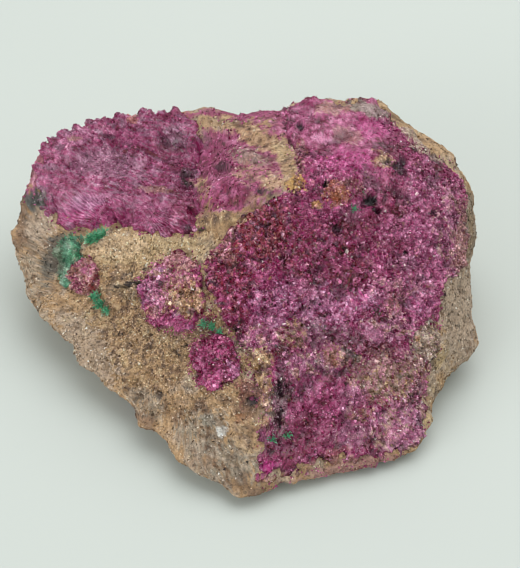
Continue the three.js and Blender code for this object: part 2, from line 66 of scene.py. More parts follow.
FORWARD = np.array([0.0, math.cos(LOOK_DOWN), -math.sin(LOOK_DOWN)])
SHEET_UP = np.array([0.0, math.sin(LOOK_DOWN), math.cos(LOOK_DOWN)])
EYE = AIM - EYE_DISTANCE * FORWARD


def on_sheet(places):
    """Squares across and down: a place is drawn towards the eye until it meets the sheet."""
    seen = places - EYE
    scale = EYE_DISTANCE / SQUARE / (seen @ FORWARD)
    across = SHEET[0] / 2 + seen[:, 0] * scale
    down = SHEET[1] / 2 - (seen @ SHEET_UP) * scale
    return across, down


# %% [markdown]
# ## Small tools for whole arrays
# Every shape here is a table of places that is worked out at once. These helpers scale
# vectors to length one, and fade a number smoothly from 0 to 1 between two values.

# %% Array helpers
TINY = 1e-12  # a length is never less, so that nothing is divided by zero


def unit(vectors):
    """Each vector divided by its own length."""
    return vectors / np.maximum(np.linalg.norm(vectors, axis=-1, keepdims=True), TINY)


def fade(values, start, end):
    """0 up to start, 1 past end, and 3t^2 - 2t^3 between them."""
    share = np.clip((values - start) / (end - start), 0, 1)
    return share * share * (3 - 2 * share)


def mixed(first, second, share):
    """The first where share is 0 and the second where it is 1."""
    return first + (second - first) * share


# %% [markdown]
# ## Natural unevenness
# Rock is uneven at every size. Soft noise swells and sinks like hills, and several sizes
# of it are laid over each other. Grain noise splits space into grains with a number each.
# Both need a random number for each corner of a lattice, and get it by scrambling the
# corner's whole numbers, so that the same place always gets the same value.

# %% Noise
LATTICE_FACTORS = (374761393, 668265263, 2246822519)  # large odd numbers
SEED_FACTOR, MIXING_FACTOR = 3266489917, 2654435761  # two more of them
SLOPE_TO_HEIGHT = 1.7  # stretches soft noise to about -1 to 1
NUMBER_SEED = 7  # from a point's seed to its number's seed
FAR = 9.0  # boxes; a nearest point is always nearer
CUBE_CORNERS = np.array([(i, j, k) for i in (0, 1) for j in (0, 1) for k in (0, 1)])
AROUND = np.array([(i, j, k) for i in (-1, 0, 1) for j in (-1, 0, 1) for k in (-1, 0, 1)])


def lattice_number(corner, seed):
    """A number from 0 to 1 for each whole-numbered corner: its parts, each times a large
    odd number, are joined and their bits are mixed."""
    bits = np.full(len(corner), (seed * SEED_FACTOR) % 2**32, np.uint32)
    for axis, factor in enumerate(LATTICE_FACTORS):
        bits ^= corner[:, axis].astype(np.int64).astype(np.uint32) * np.uint32(factor)
        bits = (bits ^ (bits >> np.uint32(15))) * np.uint32(MIXING_FACTOR)
    bits ^= bits >> np.uint32(13)
    return bits / 2.0**32


def soft_noise(places, size, seed):
    """From about -1 to 1: each corner of a lattice of boxes `size` wide has a random
    slope, and a place gets the slopes of its box's corners, faded into each other."""
    scaled = places / size
    base = np.floor(scaled).astype(np.int64)
    share = scaled - base
    fading = share**3 * (share * (share * 6 - 15) + 10)
    total = np.zeros(len(places))
    for corner in CUBE_CORNERS:
        weight = np.prod(np.where(corner == 1, fading, 1 - fading), axis=1)
        for axis in range(3):
            slope = lattice_number(base + corner, 3 * seed + axis) * 2 - 1
            total += weight * slope * (share[:, axis] - corner[axis])
    return SLOPE_TO_HEIGHT * total


def noises(places, layers):
    """Soft noises, each with its own size in mm, height and seed."""
    return [height * soft_noise(places, size, seed) for size, height, seed in layers]


def layered_noise(places, layers):
    """The sum of those noises."""
    return sum(noises(places, layers))


def grain_noise(places, size, seed):
    """One number from 0 to 1 a grain. There is a random point in each box of a lattice,
    and a place gets the number of the point that is nearest to it."""
    scaled = places / size
    base = np.floor(scaled).astype(np.int64)
    nearest = np.full(len(places), FAR)
    numbers = np.zeros(len(places))
    for step in AROUND:
        box = base + step
        point = box + np.stack([lattice_number(box, seed + k) for k in range(3)], axis=1)
        away = np.linalg.norm(scaled - point, axis=1)
        closer = away < nearest
        numbers = np.where(closer, lattice_number(box, seed + NUMBER_SEED), numbers)
        nearest = np.where(closer, away, nearest)
    return numbers


# %% [markdown]
# ## The lump's form
# The lump is a broken block. Flat faces meet at the corners below, and their hull gives
# the broad shape. The edges between faces are rounded by a power mean: the distance from
# the rock's heart to the surface is taken from all faces at once, and the nearest face
# counts most. A terrace is cut at the left, and swellings and dents are added.

# %% The lump's corners, terrace and swellings
HEART = np.array([-0.75, 2.4, 9.0])  # all directions start here
EDGE_SQUARINGS = 6  # 2**6 = 64, the power of the mean

CORNERS = np.array([
    # round the outline, from the front tip clockwise over the left end
    [0.1, -31.2, 2.0], [-6.2, -28.4, 2.6], [-11.4, -23.2, 4.0], [-15.6, -17.1, 5.0],
    [-23.4, -11.2, 5.0], [-28.7, -2.1, 6.0], [-33.7, 4.6, 7.0], [-36.0, 11.9, 10.5],
    [-35.5, 17.9, 14.0], [-33.9, 24.8, 17.0], [-29.8, 30.2, 19.2], [-19.8, 31.0, 21.0],
    [-7.1, 28.6, 21.9], [6.9, 27.8, 23.4], [12.8, 30.4, 26.2], [20.4, 29.6, 26.4],
    [24.9, 25.2, 25.2], [31.5, 20.6, 23.3], [34.0, 15.9, 21.0], [33.8, 7.1, 14.5],
    [34.3, 2.0, 9.0], [35.6, -2.2, 5.4], [29.9, -13.6, 4.0], [28.6, -18.6, 2.6],
    [24.9, -22.6, 1.6], [13.9, -26.6, 1.2],
    # along the crest and down the left slope
    [-4.4, 9.5, 24.5], [2.5, 7.2, 27.3], [12.4, 7.1, 28.0], [23.6, 11.2, 27.0],
    [29.2, 8.4, 23.0], [-14.0, -4.7, 11.5],
    # low at the back and on the right
    [-30.8, 19.4, 1.5], [-25.8, 27.4, 3.0], [-9.8, 29.9, 3.0], [10.2, 30.4, 3.0],
    [24.2, 28.4, 3.0], [35.2, 18.4, 16.0], [35.5, 16.4, 5.0], [-28.8, 9.4, 1.0],
    # the underside
    [0.2, -25.6, -0.7], [-7.8, -18.6, -0.7], [-13.8, -8.6, -0.7], [-21.8, 0.4, -0.7],
    [32.2, 3.4, -0.7], [31.2, 13.4, -0.7], [26.2, -10.6, -0.7], [22.2, -19.6, -0.7],
    [12.2, -22.6, -0.7],
])

TERRACE_MIDDLE = np.array([-17.2, 18.8])
TERRACE_REACH = np.array([16.6, 10.4])
TERRACE_WALL = (0.56, 1.06)  # share of the reach over which it rises
TERRACE_DROP = 5.8  # at the foot of the right wall
TERRACE_SHALLOW = 0.3  # share of the drop at the far left
TERRACE_SLOPE = (-34, -12)  # x over which the floor falls
TERRACE_LOWEST = 11  # nothing under this height is touched

# middle, reach along X, Y and Z, and how far the middle moves out
SWELLINGS = [
    # the lip of the ledge under the terrace, and the recess below it
    [[-20.5, 1.0, 12.6], [5, 5, 3.5], 1.3],
    [[-14.5, -0.6, 14.9], [6, 5, 3.5], 1.4],
    [[-9.0, -1.2, 17.0], [5, 5, 4], 0.8],
    [[-17.0, -4.5, 10.0], [8, 5, 3.5], -1.1],
    # the pink shoulder beside the lip
    [[-10.6, -4.6, 14.6], [5.5, 5.5, 4.5], 0.9],
    # lumps of the left end
    [[-33.0, 12.2, 12.0], [4.5, 4.5, 4], 0.9],
    [[-32.0, 6.2, 9.0], [4.5, 4.5, 3.5], 1.1],
    [[-28.6, 1.0, 7.6], [4.5, 4, 3], 0.9],
    [[-28.2, 9.0, 13.2], [4, 4, 3], 0.8],
    # the lower left slope
    [[-22.5, -6.5, 7.0], [5.5, 4.5, 4], 0.8],
    [[-16.4, -14.6, 5.2], [6, 5, 3.5], -2.2],
    [[-27.4, -5.4, 5.4], [5, 4.5, 3], -1.6],
    [[-10.6, -20.4, 5.0], [5.5, 5, 3.5], -2.6],
    [[-5.0, -24.0, 5.0], [6, 5, 4], 0.7],
    # the waist and the lump on the right
    [[28.6, -14.6, 5.0], [6, 9, 9], -2.3],
    [[34.4, -2.4, 5.2], [5, 5, 4.5], 1.0],
    [[34.6, 16.6, 13.0], [5, 6, 11], 0.7],
    # the crest and the top
    [[-2.4, 16.5, 23.4], [4.5, 5, 5], 1.0],
    [[4.0, 20.5, 25.5], [5, 5, 4], 0.7],
    [[13.0, 20.0, 27.0], [8, 6, 4], -0.8],
    [[1.0, 29.0, 23.6], [8.5, 6, 6], -1.7],
    [[20.0, 14.0, 27.4], [5, 4, 4], 0.6],
    # the broad pink face
    [[4.0, 1.0, 23.4], [7, 6, 5], -0.9],
    [[16.5, -6.0, 17.5], [8, 7, 6], 0.8],
    [[4.5, -10.5, 15.4], [6, 6, 6], 0.7],
    [[14.5, -18.5, 8.6], [7, 6, 5], 0.8],
    [[24.5, -6.5, 13.0], [5, 6, 5], -0.8],
]

# slight trims of the outline, in the same form
TRIMS = [
    [[35.0, 5.0, 8.0], [5, 14, 10], -1.0],
    [[34.8, 15.0, 15.0], [4, 6, 7], -0.6],
    [[31.5, -9.0, 4.5], [5, 6, 6], -1.7],
    [[27.5, -19.0, 2.8], [4, 4, 4], 0.4],
    [[31.0, 20.0, 23.0], [4, 4, 4], 0.5],
    [[23.4, 26.5, 25.5], [5, 5, 5], -0.4],
    [[6.3, 29.0, 24.0], [6, 4, 5], -0.8],
    [[-28.8, 29.5, 19.0], [5, 5, 4], -0.8],
    [[-19.0, 30.5, 20.5], [16, 4, 4], -0.7],
    [[-35.0, 17.5, 13.5], [4, 5, 5], 0.5],
    [[-34.5, 6.5, 8.0], [4, 5, 5], -0.8],
    [[-30.0, -1.5, 6.0], [5, 5, 4], -0.8],
    [[-23.0, -11.0, 5.0], [6, 6, 4], -0.9],
    [[-1.2, -30.8, 2.0], [5, 3, 3], 0.5],
    [[13.0, -26.8, 2.0], [8, 4, 4], -0.9],
]

corner_mesh = bmesh.new()
for corner in CORNERS - HEART:
    corner_mesh.verts.new(corner)
bmesh.ops.convex_hull(corner_mesh, input=corner_mesh.verts)
corner_mesh.normal_update()
FACE_NORMALS = np.array([face.normal for face in corner_mesh.faces])
FACE_POINTS = np.array([face.verts[0].co for face in corner_mesh.faces])
corner_mesh.free()
FACE_DISTANCES = np.sum(FACE_NORMALS * FACE_POINTS, axis=1)
FACE_NORMALS *= np.sign(FACE_DISTANCES)[:, None]
FACE_DISTANCES = np.abs(FACE_DISTANCES)
print("the lump has", len(FACE_NORMALS), "flat faces")


# %% The lump's surface
def face_radius(ways):
    """Distance from the heart to the faces: the power mean over all faces of how near
    each one is, with the power 64."""
    shares = np.maximum(ways @ FACE_NORMALS.T, 0) / FACE_DISTANCES
    top = shares.max(axis=1, keepdims=True)
    powers = shares / top
    for _ in range(EDGE_SQUARINGS):
        powers = powers * powers
    return 1 / (top * np.sum(powers, axis=1, keepdims=True) ** (0.5**EDGE_SQUARINGS))


def terrace_depth(places):
    """How far the terrace lies under the lump's faces: its drop, faded out at the wall
    round it, and shallower towards the left."""
    share = np.abs(places[:, :2] - TERRACE_MIDDLE) / TERRACE_REACH
    edge = 1 - fade(np.cbrt(np.sum(share**3, axis=1)), *TERRACE_WALL)
    fall = fade(places[:, 0], *TERRACE_SLOPE)
    return TERRACE_DROP * edge * mixed(TERRACE_SHALLOW, 1, fall)


def swelling(places):
    """The sum of all swellings: each is its rise times (1 - distance^2)^2."""
    rise = np.zeros(len(places))
    for middle, reach, height in SWELLINGS + TRIMS:
        away = np.sum(((places - middle) / reach) ** 2, axis=1)
        rise += height * np.maximum(1 - away, 0) ** 2
    return rise


def smooth_place(ways):
    """The place on the lump, without its roughness, in each direction from the heart."""
    places = HEART + ways * face_radius(ways)
    places[:, 2] -= terrace_depth(places) * (places[:, 2] > TERRACE_LOWEST)
    return places + ways * swelling(places)[:, None]


NORMAL_STEP = 0.05  # radians between the places that give a normal
NUDGE = np.array([1e-9, 0, 0])  # keeps a way off straight up, where no way is level beside it


def sideways(ways):
    """Two directions square to each way: level, and upward along the surface."""
    level = unit(np.cross([0.0, 0.0, 1.0], ways + NUDGE))
    return level, np.cross(ways, level)


def way_out(ways):
    """The way out of the rock: halfway between the ray and the surface's normal."""
    level, upward = sideways(ways)
    ends = [smooth_place(unit(ways + turn * side))
            for side in (level, upward) for turn in (NORMAL_STEP, -NORMAL_STEP)]
    normal = unit(np.cross(ends[0] - ends[1], ends[2] - ends[3]))
    return unit(normal + ways), normal


def bearing(places):
    """The direction from the heart that leads to a place on the lump's top."""
    lifted = np.array(places, float).reshape(-1, 3)
    lifted[:, 2] += terrace_depth(lifted)
    return unit(lifted - HEART)


# %% [markdown]
# ## Broad roughness
# Under the grain, the rock rolls in knobs of about nine and four millimetres. The crusts
# follow the same knobs, so this roughness belongs to the lump and not to a piece.

# %% Roughness and places on the lump
ROUGHNESS = [(9.0, 0.55, 31), (4.0, 0.35, 32)]  # size, height, seed


class Skin:
    """Places on the lump's rough surface: where they are, the way out of the rock there,
    and how squarely they face the eye (1 straight on, 0 or less turned away)."""

    def __init__(self, ways):
        self.ways = ways
        self.out, self.normal = way_out(ways)
        smooth = smooth_place(ways)
        self.places = smooth + self.out * layered_noise(smooth, ROUGHNESS)[:, None]
        self.facing = np.sum(self.normal * unit(EYE - self.places), axis=1)

    def lifted(self, height):
        """The same places, moved out of the rock by a height."""
        return self.places + self.out * np.asarray(height).reshape(-1, 1)


# %% [markdown]
# ## Where the crusts lie
# A crust covers a patch of the lump. Its outline is a run of places, and it is turned
# into a polar outline as seen from the heart: for each turn round the crust's middle,
# the angle to its edge. A place's share then says how far out it lies: 0 in the middle
# and 1 on the edge.

# %% The crusts' outlines
CRUSTS = {
    "front_druse": ([15.3, -1.6, 20.5], [
        [2.5, -27.6, 3.8], [2.5, -23.6, 6.7], [2.5, -19.2, 9.9], [0.5, -13.1, 13.7],
        [-3.2, -8.3, 15.8], [-5.3, -4.4, 17.6], [-5.5, -0.7, 19.0], [-3.9, 1.3, 20.9],
        [-1.0, 3.6, 23.6], [2.5, 5.3, 26.0], [6.3, 6.4, 26.9], [8.1, 10.7, 27.0],
        [7.9, 15.5, 27.0], [5.9, 21.1, 26.1], [6.2, 28.6, 24.2], [12.2, 29.6, 26.1],
        [18.8, 28.6, 26.4], [23.2, 22.6, 26.1], [27.8, 18.3, 24.6], [31.8, 15.8, 21.6],
        [32.7, 10.8, 18.3], [32.5, 4.3, 14.7], [29.6, -1.0, 15.2], [28.3, -5.3, 12.2],
        [27.4, -10.2, 8.9], [26.7, -14.5, 5.2], [25.9, -18.8, 3.2], [23.4, -21.4, 2.7],
        [15.1, -24.7, 3.1], [7.9, -26.5, 3.2]]),
    "hollow_crust": ([-17.8, 20.5, 16.6], [
        [-32.2, 19.4, 15.5], [-32.8, 22.1, 16.3], [-31.8, 24.7, 17.4], [-30.3, 28.1, 17.9],
        [-28.7, 28.8, 18.6], [-24.8, 29.5, 19.6], [-20.8, 29.7, 20.2], [-14.8, 29.9, 21.3],
        [-9.3, 29.0, 22.7], [-7.1, 27.9, 22.7], [-7.4, 26.7, 21.4],
        [-7.4, 23.8, 18.7], [-7.5, 21.8, 18.2], [-7.7, 18.9, 18.3], [-7.6, 15.9, 18.7],
        [-7.4, 9.4, 23.0], [-7.1, 8.0, 22.9], [-6.9, 5.8, 21.9], [-6.9, 4.2, 21.0], [-10.0, 4.8, 19.7],
        [-13.0, 6.1, 18.9], [-16.4, 7.6, 18.0], [-17.5, 10.0, 17.0], [-19.5, 13.4, 14.7],
        [-22.4, 12.9, 14.1], [-24.8, 12.9, 13.7], [-27.6, 13.6, 13.5], [-29.6, 14.4, 13.8],
        [-30.8, 16.6, 14.6]]),
    "shoulder_druse": ([-10.1, -3.8, 16.3], [
        [-14.2, 0.4, 16.4], [-12.5, 1.8, 17.2], [-8.9, 2.0, 18.6], [-6.9, -0.1, 18.9],
        [-6.9, -3.8, 17.4], [-6.3, -7.0, 15.9], [-7.9, -8.7, 13.7], [-11.6, -7.8, 13.2],
        [-14.6, -5.2, 12.6], [-15.2, -2.9, 14.0]]),
    "foot_druse": ([-4.1, -13.7, 12.7], [
        [-7.6, -10.9, 12.9], [-5.9, -10.0, 13.8], [-2.8, -11.0, 14.5], [-1.2, -13.2, 13.4],
        [-0.9, -15.8, 11.8], [-2.7, -17.0, 10.9], [-5.6, -16.1, 10.2], [-7.7, -13.6, 10.9]]),
    "malachite_band": ([-26.5, 7.3, 13.0], [
        [-27.3, 11.6, 13.6], [-26.3, 11.9, 13.6], [-25.3, 11.6, 13.8], [-24.9, 10.4, 14.1],
        [-25.1, 8.6, 14.2], [-25.5, 7.5, 13.6], [-25.9, 6.3, 12.6], [-26.2, 5.3, 12.0],
        [-26.6, 4.3, 11.4], [-26.9, 3.5, 10.8], [-27.5, 3.6, 10.6], [-28.3, 4.8, 10.7],
        [-28.2, 6.3, 11.5], [-27.9, 7.4, 12.5], [-28.0, 8.8, 13.3], [-27.9, 10.2, 13.6]]),
    "left_druse": ([-24.2, 3.2, 12.0], [
        [-25.6, 6.0, 12.7], [-24.9, 6.6, 13.4], [-23.7, 6.2, 13.8], [-22.5, 4.5, 13.5],
        [-22.0, 2.4, 13.2], [-22.6, 1.0, 12.2], [-23.9, 1.0, 11.0], [-25.2, 1.9, 10.7],
        [-25.9, 3.6, 11.3]]),
}


class Outline:
    """A crust's polar outline round the direction of its middle."""

    def __init__(self, middle, places):
        self.axis = bearing(middle)[0]
        level, upward = sideways(self.axis[None])
        self.level, self.upward = level[0], upward[0]
        ways = bearing(places)
        turns = np.arctan2(ways @ self.upward, ways @ self.level)
        order = np.argsort(turns)
        self.turns = turns[order]
        self.angles = np.arccos(ways @ self.axis)[order]

    def edge(self, turns):
        """Angle to the edge at each turn, between the two nearest places in proportion."""
        return np.interp(turns, self.turns, self.angles, period=2 * math.pi)

    def ways(self, turns, shares):
        """The direction from the heart at a turn, at a share of the way to the edge."""
        angles = (shares * self.edge(turns))[:, None]
        across = np.cos(turns)[:, None] * self.level + np.sin(turns)[:, None] * self.upward
        return np.cos(angles) * self.axis + np.sin(angles) * across

    def shares(self, ways):
        """How far towards the edge each direction lies: 0 in the middle, 1 on the edge."""
        turns = np.arctan2(ways @ self.upward, ways @ self.level)
        angles = np.arccos(np.clip(ways @ self.axis, -1, 1))
        return angles / self.edge(turns)


OUTLINES = {name: Outline(middle, places) for name, (middle, places) in CRUSTS.items()}
RAGGED = {"front_druse": 0.05, "hollow_crust": 0.1, "shoulder_druse": 0.12, "foot_druse": 0.14,
          "malachite_band": 0.36, "left_druse": 0.08}  # how uneven an edge is, as a share
EDGE_WAVE = [(2.2, 1.0, 61), (0.8, 0.6, 62)]  # size in mm, height, seed
EDGE_DRAWN_IN, EDGE_LET_OUT = 0.5, 0.025  # the first grows with how ragged a crust is


def ragged(name, shares, wave):
    """A crust's shares, raised and lowered by the edge wave so that its edge is uneven."""
    return shares + RAGGED[name] * (wave + EDGE_DRAWN_IN) - EDGE_LET_OUT


print("crusts:", ", ".join(OUTLINES))

# %% [markdown]
# ## Stains
# A stain is a colour of the mineral itself. Each is written as it looks on a screen, from
# 0 to 255, and is turned into the straight amounts of light that Blender mixes. They are
# stored on the mesh, one per point, because a crystal keeps its stain from every side.

# %% The stains
def linear(*screen):
    """Amounts of light from screen values: ((v + 0.055) / 1.055)^2.4, near black v / 12.92."""
    value = np.array(screen) / 255
    return np.where(value > 0.04045, ((value + 0.055) / 1.055) ** 2.4, value / 12.92)


PALETTE = {
    # pink dolomite
    "raspberry": linear(140, 46, 92),
    "deep raspberry": linear(116, 26, 66),
    "crimson": linear(126, 24, 54),
    "maroon": linear(94, 20, 42),
    "plum": linear(64, 16, 40),
    "red brown": linear(120, 46, 48),
    "rose": linear(162, 68, 114),
    "bright magenta": linear(176, 52, 124),
    "pale pink": linear(196, 122, 158),
    "lilac": linear(164, 108, 144),
    "mauve grey": linear(140, 88, 114),
    # the rock
    "tan": linear(169, 136, 98),
    "sand": linear(187, 160, 120),
    "pale sand": linear(206, 176, 142),
    "beige": linear(168, 147, 126),
    "brown": linear(130, 100, 74),
    "umber": linear(84, 58, 38),
    "ochre": linear(182, 138, 70),
    "rust": linear(158, 98, 60),
    "pink tan": linear(158, 114, 106),
    "grey": linear(124, 118, 104),
    "dark grey": linear(66, 66, 60),
    "chalk": linear(218, 214, 206),
    # the painted shade inside pits
    "pit": linear(30, 18, 26),
    # malachite
    "malachite": linear(58, 150, 104),
    "dark malachite": linear(26, 92, 64),
    "pale malachite": linear(132, 192, 158),
}

# mixtures of stains, for areas that are mottled from grain to grain
MOTTLES = {
    "deep sugar": ["plum", "maroon", "deep raspberry", "raspberry", "rose"],
    "crimson sugar": ["plum", "maroon", "crimson", "deep raspberry", "raspberry", "rose"],
    "rosy sugar": ["deep raspberry", "raspberry", "rose", "pale pink"],
    "lilac sugar": ["plum", "raspberry", "lilac", "pale pink"],
    "pale sugar": ["deep raspberry", "raspberry", "rose", "rose", "pale pink"],
    "bright sugar": ["raspberry", "rose", "lilac", "pale pink", "bright magenta", "pale pink"],
    "pink grey sugar": ["plum", "raspberry", "mauve grey", "pale pink", "beige", "pink tan"],
    "red sugar": ["plum", "maroon", "red brown", "crimson", "red brown", "rose"],
    "brown sugar": ["umber", "brown", "pink tan", "rose", "pink tan", "tan"],
    "grey sugar": ["dark grey", "plum", "mauve grey", "grey", "lilac"],
    "tan sugar": ["umber", "brown", "tan", "tan", "sand"],
    "grey sand": ["umber", "brown", "grey", "beige", "grey", "tan"],
    "sand sugar": ["brown", "tan", "sand", "sand", "beige"],
}
MOTTLE_SIZE = 1.0  # mm
GRAIN = 0.36  # mm, the usual width of a crystal grain


MARBLE_SWING = 0.8  # how far the noise runs through the stains
VEIN_SIZE, VEIN_WIDTH = 1.5, 0.07  # mm, and how near zero the noise is along one
VEIN_STRENGTH = 0.25
BLOTS = [(2.6, 0.13), (1.2, 0.14), (0.6, 0.13)]  # size in mm, and step of tone
GRAIN_TONE = 0.16  # step of tone from the darkest grain to the palest
DARK_STEP = 0.7  # share of a step that counts when it is dark
DARKEST = 0.03  # on the scale of tones, 0 to 1


def marbled(places, names, size, seed):
    """The named stains in order, from where soft noise is lowest to where it is highest."""
    wave = layered_noise(places, [(size, 1, seed), (size * 0.4, 0.5, seed + 1)])
    step = np.clip(0.5 + MARBLE_SWING * wave, 0, 1) * (len(names) - 1)
    colours = np.array([PALETTE[name] for name in names])
    return np.stack([np.interp(step, range(len(names)), colours[:, k]) for k in range(3)], 1)


def toned(colours, step):
    """The colours, brighter or darker by the same step on a screen in red, green and
    blue, so that the tint stays: the square root, plus the step, squared."""
    step = np.asarray(step).reshape(-1, 1)
    return np.clip(np.sqrt(colours) + np.where(step < 0, DARK_STEP, 1) * step, DARKEST, 1) ** 2


def uneven(colours, places, seed):
    """The colours with pale veins, where a soft noise passes zero, and with darker and
    paler blots of 2.6, 1.2 and 0.6 mm."""
    vein = 1 - fade(np.abs(soft_noise(places, VEIN_SIZE, seed)), 0, VEIN_WIDTH)
    colours = mixed(colours, PALETTE["pale pink"], VEIN_STRENGTH * vein[:, None])
    blots = [(size, step, seed + k) for k, (size, step) in enumerate(BLOTS, start=1)]
    return toned(colours, layered_noise(places, blots))


# %% [markdown]
# ## Patches and pits on the map sheet
# A patch is an oval on the map sheet with a stain. A pit is an oval that is also sunk
# into the surface, with painted shade inside it. Neither has a clean edge on the real
# stone: the sheet is warped by noise first, and each grain near the edge belongs to one
# side or the other.

# %% Patches
WARP = 4.5  # squares of the sheet
WARP_ACROSS = [(2.6, 1, 41), (0.9, 0.6, 42)]  # size in mm, height, seed
WARP_DOWN = [(2.6, 1, 43), (0.9, 0.6, 44)]
TURNED_AWAY = (-0.2, 0.05)  # how squarely a place faces the eye, where patches end
GRAIN_SEED, MOTTLE_SEED = 45, 46
SPECKLE = 0.9  # how far the grains break up a patch's edge
PATCH_EDGE = (-0.1, 0.25)  # depths inside an oval between which it fades
PIT_WALL, PIT_SHADOW = (0, 0.8), (0.05, 0.5)  # the same for a pit's depth and its painted shadow
OVAL_EDGE = (0, 0.4)  # the same for areas of small crystals and of fibres


class SheetSpot:
    """Places seen on a map sheet that noise has warped, with a random number a grain."""

    def __init__(self, places, facing, warp=WARP):
        across, down = on_sheet(places)
        self.across = across + warp * layered_noise(places, WARP_ACROSS)
        self.down = down + warp * layered_noise(places, WARP_DOWN)
        self.seen = fade(facing, *TURNED_AWAY)
        self.grain = grain_noise(places, GRAIN, GRAIN_SEED)
        self.places = places
        self.mottles = {}

    def inside(self, middle, reach, turn):
        """1 in the middle of an oval, 0 on its edge and less outside: 1 - distance^2."""
        cosine, sine = math.cos(math.radians(turn)), math.sin(math.radians(turn))
        across, down = self.across - middle[0], self.down - middle[1]
        along = (across * cosine + down * sine) / reach[0]
        aside = (down * cosine - across * sine) / reach[1]
        return 1 - along**2 - aside**2

    def share(self, middle, reach, turn):
        """How much of an oval's stain a place has, broken up grain by grain."""
        depth = self.inside(middle, reach, turn) + SPECKLE * (self.grain - 0.5)
        return fade(depth, *PATCH_EDGE) * self.seen

    def stain(self, name):
        """A stain of the palette, or a mottle, worked out once and kept."""
        if name in PALETTE:
            return PALETTE[name]
        if name not in self.mottles:
            self.mottles[name] = marbled(self.places, MOTTLES[name], MOTTLE_SIZE, MOTTLE_SEED)
        return self.mottles[name]

    def grained(self, colours, contrast=1, middle=0.5):
        """The colours with a tone of their own for each grain."""
        return toned(colours, contrast * GRAIN_TONE * (self.grain - middle))


def stained(spot, colours, patches):
    """The colours with each patch laid over them in turn."""
    for _, stain, middle, reach, turn, strength in patches:
        share = strength * spot.share(middle, reach, turn)
        colours = mixed(colours, spot.stain(stain), share[:, None])
    return colours


def pitted(spot, pits):
    """How deep the pits are, in mm, and how much painted shade their insides get, from 0 to 1."""
    depth = np.zeros(len(spot.across))
    dark = np.zeros(len(spot.across))
    for _, middle, reach, turn, sink, darkness in pits:
        inside = spot.inside(middle, reach, turn)
        depth += sink * fade(inside, *PIT_WALL) * spot.seen
        dark = np.maximum(dark, darkness * fade(inside, *PIT_SHADOW) * spot.seen)
    return depth, dark


def shaded(spot, colours, pits, shadow=PALETTE["pit"]):
    """The colours with painted shade in the pits' insides."""
    _, dark = pitted(spot, pits)
    return mixed(colours, shadow, dark[:, None])


# %% [markdown]
# ## From tables to meshes
# A mesh is a table of points and a table of faces that name those points. Blender takes
# whole tables with foreach_set, which is far quicker than adding points one by one. Each
# piece is tied to the part's body, and the node of the imported model that it stands for
# is hidden.

# %% Making a piece
def facing_out(points, faces, outward):
    """The faces, each turned over if its normal points against `outward` at its corner.
    A rough surface overhangs here and there, so its faces are judged on the smooth ball
    of its directions from the heart."""
    first, second, third = (points[faces[:, k]] for k in range(3))
    normals = np.cross(second - first, third - first)
    wrong = np.sum(normals * outward[faces[:, 0]], axis=1) < 0
    faces[wrong] = faces[wrong][:, ::-1]
    return faces


def make_piece(name, places, parts, stains, finish, node, smooth=False):
    """A named mesh object from places in the rock's frame, tables of faces and stains.
    Nothing of it goes under the flat cut that the rock rests on."""
    places = np.concatenate([places[:, :2], np.maximum(places[:, 2:], 0)], axis=1)
    mesh = bpy.data.meshes.new(name)
    mesh.vertices.add(len(places))
    mesh.vertices.foreach_set("co", ((places + TO_ORIGIN) * METRES).astype(np.float32).ravel())
    loops = np.concatenate([part.ravel() for part in parts]).astype(np.int32)
    counts = np.concatenate([np.full(len(part), part.shape[1]) for part in parts])
    mesh.loops.add(len(loops))
    mesh.loops.foreach_set("vertex_index", loops)
    mesh.polygons.add(len(counts))
    mesh.polygons.foreach_set("loop_start", (np.cumsum(counts) - counts).astype(np.int32))
    mesh.polygons.foreach_set("use_smooth", np.full(len(counts), smooth))
    mesh.update(calc_edges=True)
    layer = mesh.attributes.new("stain", "FLOAT_COLOR", "POINT")
    rgba = np.concatenate([np.clip(stains, 0, 1), np.ones((len(stains), 1))], axis=1)
    layer.data.foreach_set("color", rgba.astype(np.float32).ravel())
    mesh.materials.append(finish)
    piece = bpy.data.objects.new(name, mesh)
    bpy.context.scene.collection.objects.link(piece)
    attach(piece, "root")
    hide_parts(node)
    print(f"{name}: {int(np.sum(counts - 2))} triangles")


# %% [markdown]
# ## The finishes
# All three finishes read the stain of the mesh and vary it with noise: colour from grain
# to grain, gloss from place to place, and a bump finer than the mesh. Dolomite crystals
# are glassy, the host rock is dull and sandy, and malachite is silky.

# %% The finishes
DOLOMITE_IOR = 1.68  # how strongly it bends light
BUMP_HEIGHT = 0.0001  # metres
SPECK_EDGE = (0.34, 0.42)  # noise under the first is inside a dark speck


def finish_nodes(name):
    """A new material with its node tree's tools: `add` makes a node and fills its inputs."""
    material = bpy.data.materials.new(name)
    material.use_nodes = True
    tree = material.node_tree
    tree.nodes.clear()

    def add(kind, settings=(), **inputs):
        node = tree.nodes.new(kind)
        for key, value in dict(settings).items():
            setattr(node, key, value)
        for key, value in inputs.items():
            socket = node.inputs[key.replace("_", " ")]
            if isinstance(value, bpy.types.NodeSocket):
                tree.links.new(value, socket)
            else:
                socket.default_value = value
        return node

    return material, add


def noise_node(add, coordinates, wavelength, detail=2.0):
    """A noise texture whose features are about `wavelength` millimetres apart."""
    return add("ShaderNodeTexNoise", Vector=coordinates, Scale=1 / (wavelength * METRES),
               Detail=detail, Roughness=0.6)


def ranged(add, value, low, high, start=0.3, end=0.7):
    """A value from `start` to `end` becomes one from low to high."""
    node = add("ShaderNodeMapRange", {"clamp": True}, Value=value)
    for key, number in (("From Min", start), ("From Max", end), ("To Min", low), ("To Max", high)):
        node.inputs[key].default_value = number
    return node.outputs["Result"]


